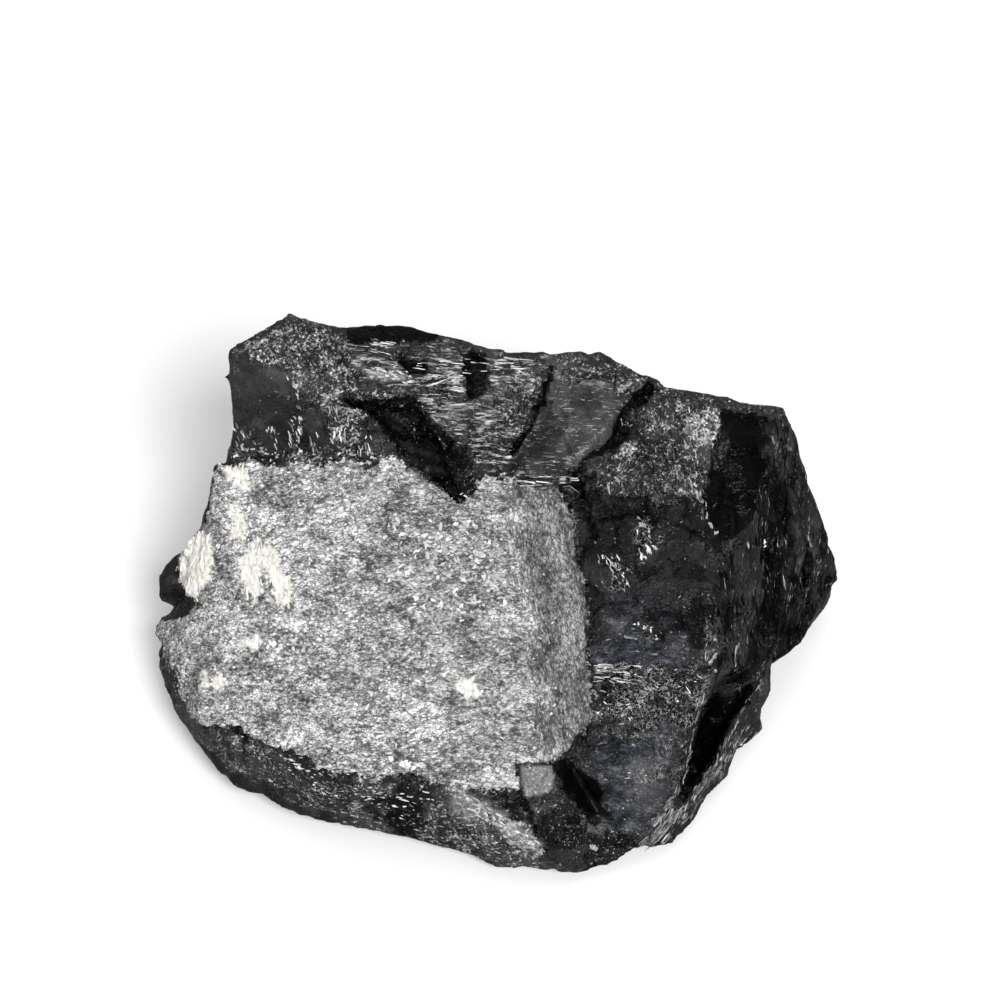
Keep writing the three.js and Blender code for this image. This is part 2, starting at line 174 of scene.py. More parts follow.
def plates(count, long, wide, tone, *outlines, **more):
    """Small plates: how many, their ranges of length, width and tone, and where and how they lie."""
    usual = {"run": None, "spread": 0.3, "lean": 0.35, "deep": 0.35}
    return {**usual, "count": count, "long": long, "wide": wide, "tone": tone, "outlines": outlines, **more}


def row(count, long, wide, tone, off, *course, **more):
    """Small plates along a course through the front view, most of them less than some units off it."""
    return plates(count, long, wide, tone, course=course, off=off, **more)


# Outlines in the front view: the bed of mica, its steep right part, its dim and its dark parts, short dark
# stains as pairs of ends, and patches of cream feldspar, of which the first BLADED are thick with blades.
MICA_FACE = [
    (215, 458), (232, 466), (250, 457), (270, 467), (296, 459), (318, 466), (345, 457), (372, 461),
    (394, 453), (408, 466), (437, 483), (459, 502), (474, 492), (480, 474), (520, 476), (555, 491),
    (571, 504), (577, 537), (585, 556), (587, 594), (588, 656), (592, 690), (595, 718), (585, 731),
    (571, 745), (557, 759), (534, 766), (514, 762), (523, 790), (510, 792), (461, 791), (443, 785),
    (413, 773), (381, 778), (338, 775), (317, 770), (306, 758), (295, 753), (271, 747), (252, 738),
    (239, 727), (204, 729), (191, 721), (177, 689), (164, 648), (155, 635), (156, 621), (176, 618),
    (198, 606), (185, 596), (176, 570), (180, 548), (193, 534), (206, 520), (212, 480),
]
MICA_RIGHT = [(508, 440), (640, 440), (660, 800), (540, 800), (538, 700), (512, 560)]
MICA_DIM = [(365, 480), (480, 460), (560, 480), (600, 800), (440, 790), (430, 700), (370, 600)]
MICA_DARK = [
    [(436, 596), (474, 612), (492, 640), (476, 664), (444, 652), (428, 622)],
    [(470, 488), (520, 492), (530, 520), (490, 516)],
    [(186, 640), (214, 650), (222, 700), (200, 706), (184, 680)],
    [(330, 668), (372, 660), (380, 690), (345, 700)],
]
MICA_STAINS = [
    [(557, 688), (559, 714)], [(388, 504), (387, 532)], [(250, 650), (256, 656)], [(300, 700), (308, 704)],
    [(350, 536), (352, 542)], [(368, 562), (372, 572)], [(410, 618), (414, 626)], [(470, 640), (478, 644)],
    [(215, 560), (219, 570)], [(398, 752), (404, 756)], [(458, 724), (466, 726)], [(262, 700), (268, 702)],
]
CREAM_PATCHES = [
    [(197, 529), (178, 568), (181, 592), (198, 598), (211, 580), (214, 556), (211, 536)],
    [(226, 506), (234, 508), (247, 528), (246, 540), (238, 536), (231, 518)],
    [(236, 560), (248, 552), (262, 548), (266, 560), (262, 582), (257, 606), (247, 598), (241, 575)],
    [(258, 538), (268, 540), (279, 558), (291, 600), (289, 608), (276, 603), (269, 574), (262, 556)],
    [(227, 468), (240, 464), (249, 474), (243, 489), (231, 480)],
    [(457, 680), (470, 677), (478, 688), (472, 698), (458, 692)],
    [(200, 680), (220, 674), (222, 682), (203, 688)], [(246, 640), (261, 637), (264, 646), (250, 650)],
]
BLADED = 5
# Stacks of thin ledges.
LEDGES = [
    [(418, 362), (476, 358), (474, 388), (424, 388)], [(482, 356), (532, 356), (528, 372), (486, 374)],
    [(352, 342), (398, 340), (400, 352), (356, 354)], [(520, 474), (580, 478), (578, 488), (524, 486)],
]
SLANTED_LEDGE = [(362, 366), (408, 372), (420, 386), (372, 378)]

# What a zone can have. Its reliefs: calm (none), lens (long scales), grain, striae, flutes, lumps and sunk
# pits. Its finishes: dust and fibres of bright mica, dashes of bright mica that are partly painted glints, a
# web of thin bright curls that are painted glints, a painted bluish reflection, a painted grey sheen, pale
# patches, grey scales that are partly painted sheen, and the pitch black and the fibrous tourmaline. The pitch
# black is also painted shade in openings, pits, hollows and cuts. Its edge is more or less ragged than usual,
# and an opening takes in walls that turn away from the eye. Where zones overlap, the later one's share of what
# covers stands alone.
RELIEFS = ("calm", "lens", "grain", "striae", "flutes", "lumps", "sunk")
FINISHES = ("dust", "dashes", "fibres", "web", "bloom", "sheen", "pale", "scales", "pitch", "fibrous")
COVERING = ("calm", *FINISHES)
ZONES = [
    area(3, MICA_FACE, calm=1, dust=0.6),
    # The steep flat face of the tall block, and the smaller facet beside it.
    area(4, [(228, 350), (262, 363), (288, 378), (294, 402), (296, 455), (228, 457)],
         [(303, 404), (322, 408), (326, 440), (322, 452), (305, 450)], ragged=0.4, calm=0.9, flutes=0.8,
         bloom=0.1, sheen=0.22, dust=0.05),
    # The rubble on the tall block and down its slope.
    area(4, [(232, 350), (262, 321), (318, 321), (352, 330), (356, 352), (350, 380), (400, 396), (392, 412),
         (360, 418), (362, 452), (328, 458), (324, 410), (300, 400), (290, 374), (262, 361)], grain=1,
         dust=0.58),
    # Pale crumbs along the foot of the tall block.
    area(5, [(228, 440), (262, 448), (330, 446), (372, 440), (376, 462), (300, 466), (226, 466)],
         [(300, 400), (312, 398), (304, 420), (300, 440)], grain=0.8, dust=0.34),
    # The shadowed hollow and its black smooth facet.
    area(4,
         [(360, 402), (418, 396), (440, 428), (458, 448), (474, 496), (458, 502), (408, 462), (380, 428)],
         ragged=0.5, pitch=1, dust=0.15),
    area(3, [(402, 438), (424, 434), (450, 460), (453, 478), (434, 476), (410, 462)],
         [(370, 408), (398, 412), (408, 430), (386, 424)], ragged=0.4, calm=0.9, pitch=1, sheen=0.3,
         dust=0.03),
    area(3, [(456, 446), (466, 444), (474, 470), (474, 492), (464, 494), (458, 478)], ragged=0.4, flutes=1,
         pitch=1, sheen=0.35, dust=0.2),
    # The plateau left of the first groove.
    area(4, [(345, 326), (545, 352), (552, 372), (514, 455), (508, 478), (474, 470), (445, 432), (420, 396),
         (352, 380)], striae=1, dashes=0.5, dust=0.2, sheen=0.3),
    # The smooth plate between the grooves, grey with painted sheen.
    area(3, [(554, 364), (648, 385), (626, 420), (608, 446), (582, 480), (510, 477), (514, 450)],
         ragged=0.2, calm=1, striae=0.15, dashes=0.12, sheen=0.5),
    # Silvery stacks of thin ledges.
    area(3, *LEDGES, SLANTED_LEDGE, [(594, 662), (642, 664), (640, 684), (596, 682)], striae=1, dashes=0.6),
    # The dark pit, black as painted shade, and the dark back corner of the plateau.
    area(3, [(462, 350), (486, 350), (488, 392), (468, 396)],
         [(398, 354), (424, 360), (428, 376), (408, 372)], ragged=0.35, opening=1, pitch=1, sunk=0.7),
    area(3, [(346, 318), (420, 322), (440, 332), (436, 340), (400, 343), (350, 344)], ragged=0.35, pitch=1,
         calm=0.5),
    # The granular rim along the back.
    area(4, [(545, 350), (610, 354), (700, 386), (785, 410), (790, 424), (700, 402), (560, 374)], grain=0.6,
         dust=0.42),
    # The rounded block, and the pale dust on its right.
    area(5, [(640, 398), (700, 396), (722, 412), (712, 440), (700, 470), (712, 520), (660, 512), (600, 506),
         (588, 484), (618, 452)], grain=0.5, dust=0.42, fibres=0.2),
    area(7, [(684, 412), (722, 412), (714, 446), (692, 452)],
         [(618, 440), (640, 436), (636, 470), (616, 466)], dust=0.75),
    # The blackest facet.
    area(3,
         [(722, 408), (768, 416), (780, 450), (774, 500), (756, 534), (716, 542), (705, 500), (712, 450)],
         ragged=0.3, calm=0.9, pitch=1),
    # The right flank.
    area(8, [(764, 418), (790, 428), (806, 465), (820, 495), (836, 540), (840, 580), (832, 608), (806, 648),
         (765, 675), (745, 705), (712, 690), (716, 640), (722, 560), (752, 528), (770, 480)], lens=1,
         pitch=1, fibres=0.2, scales=0.45),
    # Lighter patches on the flank, grey with painted sheen and scales.
    area(7, [(766, 424), (784, 434), (794, 466), (782, 482), (770, 470)],
         [(742, 600), (750, 590), (758, 612), (748, 640)],
         [(800, 512), (812, 526), (824, 574), (808, 604), (800, 560)],
         [(716, 650), (736, 640), (744, 660), (724, 684)], ragged=1.2, lens=1, pitch=1, sheen=0.5,
         scales=0.6, fibres=0.2),
    # Dark hollows in the flank, black as painted shade.
    area(6, [(774, 482), (786, 490), (798, 520), (784, 526), (772, 502)],
         [(716, 590), (730, 600), (732, 640), (718, 632)],
         [(776, 590), (788, 600), (780, 640), (768, 650), (766, 610)], ragged=1.2, lens=1, pitch=1),
    # The dark lumps at the front right, grey with painted sheen, and the bright curls on them, painted glints.
    area(6, [(572, 492), (706, 506), (722, 560), (714, 644), (700, 652), (588, 648), (586, 560)], pitch=1,
         calm=0.4, lumps=1, dust=0.06, sheen=0.36),
    area(3, [(636, 516), (648, 522), (654, 548), (642, 554)],
         [(598, 556), (612, 560), (626, 584), (612, 584)], [(636, 622), (654, 622), (660, 632), (642, 634)],
         ragged=1.4, grain=0.7, dust=0.4, web=0.9, pitch=1),
    # A painted bluish reflection on the front lumps and the steep front facet.
    area(16, [(588, 642), (612, 634), (624, 596), (646, 600), (652, 636), (690, 650), (684, 662),
         (640, 668), (590, 664)],
         [(600, 732), (650, 726), (668, 742), (666, 800), (650, 836), (604, 830), (582, 798), (592, 760)],
         ragged=1.5, calm=0.5, bloom=1, dust=0.14, dashes=0.12, pitch=0.6, sheen=0.4),
    # A painted bluish highlight on the steep front facet.
    area(12, [(636, 764), (650, 760), (656, 788), (646, 808), (636, 792)], ragged=1, calm=0.5, bloom=1,
         dust=0.36, pale=0.12),
    # The sparkling granular patch between them, with a web of painted glints.
    area(8, [(596, 664), (702, 666), (706, 690), (694, 726), (640, 728), (600, 724)], ragged=1.5, grain=0.8,
         dust=0.32, pitch=1, web=0.6, sheen=0.1),
    # The fibrous outer flange, and the lips of the crevice.
    area(4, [(764, 715), (764, 740), (720, 780), (640, 862), (634, 845), (690, 795), (740, 742)],
         [(706, 620), (712, 622), (708, 690), (698, 722), (688, 780), (654, 842), (646, 838), (682, 776),
         (700, 690)], [(802, 644), (806, 652), (776, 672), (748, 704), (718, 766), (690, 800), (684, 794),
         (712, 756), (742, 700)], lens=0.8, fibres=0.6, fibrous=1),
    # The black inside of the crevice, painted shade.
    area(4,
         [(712, 690), (744, 700), (733, 728), (711, 765), (688, 801), (678, 799), (684, 770), (698, 728)],
         ragged=0.3, opening=1, calm=1, pitch=1),
    # The grey front wall under the mica, much of its grey painted sheen.
    area(5, [(195, 732), (250, 742), (310, 775), (380, 782), (445, 792), (520, 800), (560, 830), (560, 875),
         (480, 870), (380, 840), (300, 800), (230, 770), (188, 738), (165, 690), (160, 650), (175, 690)],
         sheen=1, grain=0.35, dust=0.45, dashes=0.22, striae=0.6),
    area(8, [(556, 800), (600, 826), (652, 836), (650, 862), (600, 874), (560, 874), (524, 840)], calm=0.2,
         pitch=0.6, sheen=0.4, dust=0.2, dashes=0.08),
    # Dark hollows in that wall, black as painted shade.
    area(6, [(404, 774), (424, 772), (434, 800), (420, 832), (404, 838), (394, 812), (380, 818), (380, 808),
         (398, 800)], [(492, 792), (522, 796), (526, 838), (508, 822)],
         [(232, 727), (246, 727), (246, 744), (234, 746)], [(298, 774), (306, 774), (306, 785), (298, 786)],
         ragged=1.4, pitch=1, grain=0.6, sheen=0.25, dust=0.2, sunk=0.2),
    # The black slot at the foot of the mica, black as painted shade.
    area(2,
         [(545, 764), (568, 756), (590, 775), (606, 799), (596, 820), (578, 809), (562, 790), (564, 780)],
         [(586, 798), (606, 802), (612, 818), (594, 824), (582, 812)], ragged=0.35, opening=1, calm=1,
         pitch=1),
    # Pale patches on the front wall.
    area(4, [(444, 790), (460, 792), (500, 812), (516, 824), (506, 830), (470, 812)],
         [(498, 826), (520, 822), (548, 850), (540, 858), (512, 846)], dust=0.7, pale=0.6),
    area(1.5, [(521, 765), (552, 766), (557, 781), (549, 793), (527, 798)],
         [(356, 368), (400, 370), (414, 380), (380, 380)], ragged=0.2, dust=0.4, pale=0.75),
]
# Steps of the plain form that are worn down.
SOFT_STEPS = [
    [(626, 488), (706, 490), (708, 530), (626, 528)],
    [(548, 754), (578, 758), (618, 808), (606, 832), (578, 818), (550, 784)],
]
# Dark cuts, pitch black as painted shade in the grooves: each one's width in the front view, its depth in
# millimetres and its course.
CUTS = [
    (6, 0.9, [(553, 368), (540, 400), (526, 430), (514, 454)]),
    (11, 1.0, [(650, 384), (630, 412), (613, 441), (590, 460), (578, 482)]),
    (4, 0.6, [(510, 758), (520, 790), (535, 830), (546, 852)]),
    (3, 0.5, [(612, 734), (610, 750), (614, 766)]),
    (3.5, 0.6, [(557, 688), (559, 714)]),
    (4, 0.6, [(766, 488), (774, 502), (784, 522)]),
    (8, 0.9, [(574, 486), (586, 510), (596, 536)]),
    (9, 0.8, [(346, 398), (364, 404)]),
    (3, 0.5, [(388, 505), (387, 530)]),
]
# Small bright plates, of mica and in many places painted glints. Lengths and widths are in millimetres, and
# runs in the front view, to the right and down.
FLAKES = [
    # Short upright glints along the foot of the tall block, and down the edge between its facets.
    plates(100, (0.5, 2.6), (0.12, 0.34), (0.15, 1), [(234, 428), (250, 424), (252, 448), (234, 448)],
           [(266, 428), (278, 422), (280, 446), (268, 448)],
           [(288, 412), (302, 420), (304, 452), (288, 450)],
           [(312, 430), (322, 436), (320, 452), (310, 450)],
           [(328, 408), (348, 412), (350, 440), (330, 450)],
           [(352, 430), (372, 436), (374, 452), (352, 454)], deep=0.15, run=(0.08, 1), spread=0.12,
           lean=0.12),
    plates(70, (0.3, 1.1), (0.2, 0.6), (0.15, 0.9), [(232, 448), (376, 450), (376, 466), (232, 464)],
           lean=0.2),
    row(26, (0.4, 1.3), (0.15, 0.35), (0.2, 0.8), 1.5, (286, 378), (296, 386), (300, 408), (303, 440),
        run=(0.1, 1), lean=0.15),
    # Long thin ledges on the plateau.
    plates(110, (1.2, 4.2), (0.12, 0.2), (0.2, 1), *LEDGES, deep=0.15, run=(1, 0.03), spread=0.02,
           lean=0.05),
    plates(50, (0.6, 1.8), (0.15, 0.3), (0.3, 0.8), SLANTED_LEDGE, run=(1, 0.25), spread=0.08, lean=0.1),
    plates(90, (0.7, 2.4), (0.1, 0.16), (0.1, 0.6),
           [(420, 396), (545, 372), (514, 452), (474, 466), (445, 430)], deep=0.1, run=(1, 0.05),
           spread=0.03, lean=0.05),
    plates(110, (0.5, 1.6), (0.08, 0.14), (0.06, 0.4),
           [(556, 370), (636, 388), (600, 446), (578, 474), (520, 470)], deep=0.08, run=(1, 0.05),
           spread=0.03, lean=0.04),
    # Streaks down the right edge of the rounded block, and a few pale flakes below it.
    plates(70, (0.5, 1.8), (0.12, 0.35), (0.1, 0.7),
           [(686, 410), (714, 408), (716, 440), (700, 470), (712, 520), (700, 520), (684, 460)], deep=0.15,
           run=(0.35, 1), spread=0.2, lean=0.12),
    row(5, (0.9, 1.8), (0.3, 0.7), (0.3, 0.5), 1.5, (709, 520), (716, 536), run=(-0.3, 1)),
    row(4, (0.7, 1.1), (0.4, 0.7), (0.9, 1), 0.4, (764, 540), (766, 546)),
    # Bright curls on the dark front lumps and in the granular patch: painted glints.
    row(26, (0.5, 1.9), (0.12, 0.45), (0.3, 1), 2.6, (640, 518), (652, 545), (640, 556), deep=0.15,
        run=(0.3, 1), spread=0.35, lean=0.2),
    row(26, (0.5, 1.8), (0.1, 0.35), (0.3, 1), 2.8, (598, 556), (616, 566), (628, 590), deep=0.15,
        run=(0.5, 1), spread=0.3, lean=0.2),
    row(9, (0.5, 1.2), (0.15, 0.35), (0.4, 1), 3, (636, 628), (648, 626), (660, 634), deep=0.15, lean=0.2),
    plates(16, (0.3, 1.2), (0.08, 0.16), (0.1, 0.5),
           [(590, 500), (700, 512), (712, 640), (700, 650), (592, 640)], deep=0.1, lean=0.1),
    plates(60, (0.8, 2.6), (0.1, 0.22), (0.2, 1), [(594, 664), (642, 664), (640, 684), (596, 682)],
           deep=0.15, run=(1, 0.15), spread=0.1, lean=0.1),
    plates(46, (0.4, 2.2), (0.08, 0.22), (0.2, 1),
           [(600, 684), (645, 664), (702, 672), (704, 700), (668, 716), (650, 708), (626, 726), (604, 722)],
           deep=0.1, run=(1, 0.5), spread=0.5, lean=0.1),
    # Fibres along the outer flange and the lips of the crevice.
    plates(120, (1.0, 2.8), (0.1, 0.22), (0.04, 0.4),
           [(760, 722), (720, 772), (642, 858), (636, 846), (690, 800), (736, 748)], deep=0.12,
           run=(-0.65, 0.75), spread=0.05, lean=0.06),
    row(45, (1.0, 2.6), (0.1, 0.22), (0.05, 0.35), 0.8, (800, 646), (775, 666), (746, 702), (735, 727),
        (716, 762), (688, 798), deep=0.12, run=(-0.55, 0.8), spread=0.08, lean=0.06),
    row(60, (1.0, 3.0), (0.1, 0.2), (0.05, 0.4), 1.2, (709, 624), (704, 692), (695, 722), (685, 778),
        (652, 838), deep=0.15, run=(-0.25, 1), spread=0.1, lean=0.1),
    # Glints on the front wall.
    row(30, (0.6, 1.8), (0.2, 0.4), (0.4, 1), 5, (268, 752), (300, 766), (330, 792), (396, 800), (440, 806),
        run=(1, 0.15), spread=0.15, lean=0.15),
    plates(12, (0.3, 1.0), (0.1, 0.25), (0.08, 0.4), [(560, 820), (640, 830), (640, 860), (560, 870)],
           deep=0.15, lean=0.1),
    plates(130, (0.3, 1.3), (0.1, 0.3), (0.08, 0.9),
           [(180, 700), (300, 760), (460, 800), (520, 826), (520, 880), (300, 810), (170, 680)], deep=0.2,
           run=(1, 0.2), spread=0.25, lean=0.15),
    plates(90, (0.6, 1.8), (0.2, 0.45), (0.3, 0.8),
           [(444, 792), (462, 792), (500, 812), (514, 824), (500, 828), (468, 812)],
           [(498, 828), (520, 824), (546, 850), (536, 856), (512, 846)], run=(0.8, 0.45), spread=0.2),
    row(6, (0.8, 1.2), (0.7, 1.0), (0.3, 0.5), 0.5, (592, 846), (597, 850)),
    # White spots and loose flecks on the mica face.
    row(5, (0.8, 1.3), (0.6, 0.9), (0.9, 1), 1, (254, 645), (256, 645)),
    row(5, (0.8, 1.3), (0.6, 0.9), (0.9, 1), 1, (271, 643), (273, 643)),
    row(9, (0.6, 1.2), (0.5, 0.9), (0.85, 1), 2, (385, 760), (420, 767)),
    plates(150, (0.5, 1.9), (0.3, 1.0), (0.35, 0.9),
           [(380, 520), (500, 520), (510, 600), (480, 640), (390, 600)], deep=0.2, lean=0.12),
    plates(300, (0.3, 0.9), (0.2, 0.6), (0.3, 0.85),
           [(220, 480), (470, 490), (560, 540), (570, 700), (500, 760), (300, 750), (200, 700), (190, 620)],
           deep=0.2, lean=0.12),
]
# Cream blades of feldspar on the mica face.
BLADES = [
    plates(240, (0.9, 2.6), (0.2, 0.6), (0.3, 0.9), *CREAM_PATCHES[:BLADED], deep=0.3, run=(0.15, 1),
           spread=0.35, lean=0.15),
    plates(36, (0.4, 1.2), (0.3, 0.7), (0.3, 0.8), *CREAM_PATCHES[BLADED:], deep=0.2, lean=0.12),
    row(70, (0.4, 1.4), (0.2, 0.5), (0.5, 0.95), 9, (226, 500), (258, 545), (280, 600), deep=0.2,
        run=(0.15, 1), lean=0.15),
]


# ---------------------------------------------------------------- shapes

def sight_line(across, down):
    """The direction from the eye through a point of the front view."""
    line = VIEW_RIGHT * (across - VIEW_HALF) + VIEW_UP * (VIEW_HALF - down) - VIEW_BACK * VIEW_FOCUS
    return line.normalized()


def front_points(places):
    """The front view's points of an array of places."""
    ray = places - np.array(EYE)
    depth = -ray @ np.array(VIEW_BACK)
    across = VIEW_HALF + VIEW_FOCUS * ray[:, 0] / depth
    down = VIEW_HALF - VIEW_FOCUS * (ray @ np.array(VIEW_UP)) / depth
    return np.stack([across, down], axis=1)


def fade(value, low, high):
    """0 below low, 1 above high and a smooth step between."""
    share = np.clip((value - low) / (high - low), 0, 1)
    return share * share * (3 - 2 * share)


def gap_to(points, start, end):
    """How far each point of the front view is from a straight edge."""
    edge = end - start
    share = np.clip(((points - start) @ edge) / (edge @ edge), 0, 1)
    gap = points - start - share[:, None] * edge
    return np.hypot(gap[:, 0], gap[:, 1])


def reach_inside(points, outline):
    """How far each point of the front view lies inside an outline; outside it is negative."""
    nearest = np.full(len(points), np.inf)
    inside = np.zeros(len(points), bool)
    corners = np.array(outline, float)
    for start, end in zip(corners, np.roll(corners, -1, axis=0)):
        nearest = np.minimum(nearest, gap_to(points, start, end))
        crosses = (start[1] > points[:, 1]) != (end[1] > points[:, 1])
        across, down = end - start
        at = start[0] + (points[:, 1] - start[1]) / (down or TINY) * across
        inside ^= crosses & (points[:, 0] < at)
    return np.where(inside, nearest, -nearest)


def zone(points, outlines, soft):
    """The share of a zone at each point of the front view, with an edge that is soft units wide."""
    return np.max([fade(reach_inside(points, outline), -soft, soft) for outline in outlines], axis=0)


def near_line(points, course, width):
    """1 on a course through the front view and 0 beyond half its width, or a little more."""
    nearest = np.full(len(points), np.inf)
    corners = np.array(course, float)
    for start, end in zip(corners, corners[1:]):
        nearest = np.minimum(nearest, gap_to(points, start, end))
    return 1 - fade(nearest, width * 0.2, width * 0.6)


def jagged(points, places, amount, size):
    """Points of the front view shifted by noise, so that an outline drawn with them is ragged."""
    near = [Vector(place) / size for place in places]
    shift = [noise.noise_vector(spot) + noise.noise_vector(spot * 2.7) * 0.5 for spot in near]
    return points + np.array(shift)[:, :2] * amount


def facing(places, normals, low=SEEN_FACING[0], high=SEEN_FACING[1]):
    """1 where the surface faces the eye and 0 where it turns away."""
    sight = np.array(EYE) - places
    sight /= np.linalg.norm(sight, axis=1)[:, None]
    return fade((sight * normals).sum(axis=1), low, high)


def new_object(name, data):
    made = bpy.data.objects.new(name, data)
    bpy.context.scene.collection.objects.link(made)
    return made


def object_of(name, form):
    """A new object from a bmesh, which ends there."""
    mesh = bpy.data.meshes.new(name)
    form.to_mesh(mesh)
    form.free()
    return new_object(name, mesh)


def tree_of(piece):
    return BVHTree.FromObject(piece, bpy.context.evaluated_depsgraph_get())


def read(items, what, width):
    """A value of each item of a mesh, one row each."""
    values = np.zeros(len(items) * width)
    items.foreach_get(what, values)
    return values.reshape(-1, width)


def places_of(mesh):
    return read(mesh.vertices, "co", 3)


def normals_of(mesh):
    return read(mesh.vertex_normals, "vector", 3)


def move_to(mesh, places):
    """Puts every corner of a mesh in its new place."""
    mesh.vertices.foreach_set("co", places.ravel())
    mesh.update()


def set_values(mesh, name, values):
    """Stores one number for each corner of a mesh."""
    attribute = mesh.attributes.new(name, "FLOAT", "POINT")
    attribute.data.foreach_set("value", np.asarray(values, np.float32))


def keep_in_box(mesh, low, high):
    """Holds every corner of a mesh inside a box."""
    move_to(mesh, np.clip(places_of(mesh), np.array(low), np.array(high)))


def even_mesh(name, source, voxel):
    """A closed mesh of even small faces over a source object's form."""
    form = bmesh.new()
    form.from_mesh(source.data)
    bmesh.ops.remove_doubles(form, verts=form.verts, dist=1e-6)
    made = object_of(name, form)
    remesh = made.modifiers.new("even", "REMESH")
    remesh.mode = "VOXEL"
    remesh.voxel_size = voxel
    evaluated = made.evaluated_get(bpy.context.evaluated_depsgraph_get())
    made.data = bpy.data.meshes.new_from_object(evaluated)
    made.modifiers.clear()
    made.data.materials.clear()
    return made


def mark_sharp(mesh, angle):
    """Smooth shading with a hard edge wherever two faces meet at more than an angle."""
    form = bmesh.new()
    form.from_mesh(mesh)
    for face in form.faces:
        face.smooth = True
    for edge in form.edges:
        edge.smooth = len(edge.link_faces) == 2 and edge.calc_face_angle(0) < angle
    form.to_mesh(mesh)
    form.free()


def flakes(place, size, tilt, salt, run=None, stretch=1.0):
    """Height of flat flakes of about a size, each with its own level and tilt, and stretched along a run."""
    cell = Vector(place)
    if run:
        cell -= run * cell.dot(run) * (1 - 1 / stretch)
    cell = cell / size + Vector((salt, salt, salt))
    heart = noise.voronoi(cell)[1][0]
    lean = noise.noise_vector(heart * 7.31)
    return (cell - heart).dot(lean) * size * tilt + noise.noise(heart * 3.7) * size * tilt * 0.4


def ripple(place, size, salt=0.0):
    return noise.noise(Vector(place) / size + Vector((salt, -salt, salt)))


def streaks(place, *sizes):
    """Noise with a size of its own along each axis."""
    return noise.noise(Vector([value / size for value, size in zip(place, sizes)]))


def rock_relief(place, share):
    """How far the broken surface stands out from the plain form, in metres."""
    height = 0.0
    if share["lens"] > TRACE:
        scales = flakes(place, 3.8 * MM, 0.24, 3.0, FLANK_RUN, 5.0)
        hair = flakes(place, 1.5 * MM, 0.2, 8.0, FLANK_RUN, 6.0)
        height += share["lens"] * (scales + hair)
    rest = (1 - share["lens"]) * (1 - share["calm"])
    if rest > TRACE:
        broad = flakes(place, 5.5 * MM, 0.2, 1.0)
        small = flakes(place, 2.1 * MM, 0.18, 5.0)
        height += rest * (broad + small + ripple(place, 0.9 * MM) * 0.05 * MM)
    if share["grain"] > TRACE:
        gap = noise.voronoi(place / (1.3 * MM))[0][0]
        height += share["grain"] * (0.5 - gap) * 0.6 * MM
    if share["striae"] > TRACE:
        height += share["striae"] * streaks(place, 9 * MM, 0.8 * MM, 1.2 * MM) * 0.3 * MM
    if share["flutes"] > TRACE:
        height += share["flutes"] * streaks(place, 0.9 * MM, 0.9 * MM, 9 * MM) * 0.2 * MM
    if share["lumps"] > TRACE:
        swell = ripple(place, 5 * MM, 4.0) * 1.3 * MM + ripple(place, 2.2 * MM, 9.0) * 0.45 * MM
        height += share["lumps"] * swell
    return max(-RELIEF_LIMIT, min(RELIEF_LIMIT, height))


def add_zones(shares, points, jitter, seen, walls):
    """Lays the zones over each other in the shares. Gives how far each corner is in an opening."""
    opening = np.zeros(len(points))
    for entry in ZONES:
        share = zone(points + jitter * entry["ragged"], entry["outlines"], entry["soft"])
        share = share * (walls if entry["opening"] else seen)
        opening = np.maximum(opening, share * entry["opening"])
        for name in RELIEFS + FINISHES:
            kept = shares[name] * (1 - share) if name in COVERING else shares[name]
            shares[name] = np.maximum(kept, share * entry.get(name, 0))
    return opening


def add_cuts(shares, points, seen):
    """Makes the cuts pitch black and bare, a painted shade in the grooves. Gives how deep they are."""
    depth = np.zeros(len(points))
    for width, deep, course in CUTS:
        line = near_line(points, course, width) * seen
        depth = np.maximum(depth, line * deep * MM)
        shares["pitch"] = np.maximum(shares["pitch"], line)
        for name in ("dust", "dashes", "sheen"):
            shares[name] *= 1 - line
    return depth


def rock_shares(places, normals):
    """How much of each relief and finish there is at every corner, and how deep the cuts are there."""
    points = front_points(places)
    jitter = jagged(points, places, *BROAD_RAGS) + jagged(points, places, *FINE_RAGS) - points * 2
    seen = facing(places, normals)
    shares = {name: np.zeros(len(places)) for name in RELIEFS + FINISHES}
    opening = add_zones(shares, points, jitter, seen, facing(places, normals, *WALL_FACING))
    depth = add_cuts(shares, points + jitter * 0.4, seen)
    right = fade(normals[:, 0], *RIGHT_FACING) * fade(places[:, 0], *RIGHT_END)
    shares["lens"] = np.maximum(shares["lens"], right)
    hidden = (1 - seen) * (1 - opening)
    for name, amount in HIDDEN.items():
        shares[name] = np.maximum(shares[name], hidden * amount)
    return shares, depth


def neighbour_means(mesh, values):
    """The mean of a value over the neighbours of each corner."""
    ends = np.zeros(len(mesh.edges) * 2, int)
    mesh.edges.foreach_get("vertices", ends)
    first, second = ends.reshape(-1, 2).T
    size = len(values)
    total = np.bincount(first, values[second], size) + np.bincount(second, values[first], size)
    return total / np.maximum(np.bincount(ends, minlength=size), 1)


def evened(mesh, heights):
    """Heights averaged with those of the neighbours, so that no spike stands alone."""
    return heights * 0.4 + neighbour_means(mesh, heights) * 0.6


def soften(mesh):
    """Wears down the steps of the plain form in some zones, round after round."""
    places = places_of(mesh)
    share = zone(front_points(places), SOFT_STEPS, 7) * facing(places, normals_of(mesh))
    for _ in range(WEAR_ROUNDS):
        means = [neighbour_means(mesh, places[:, axis]) for axis in range(3)]
        places = places + (np.stack(means, axis=1) - places) * share[:, None] * 0.7
    move_to(mesh, places)


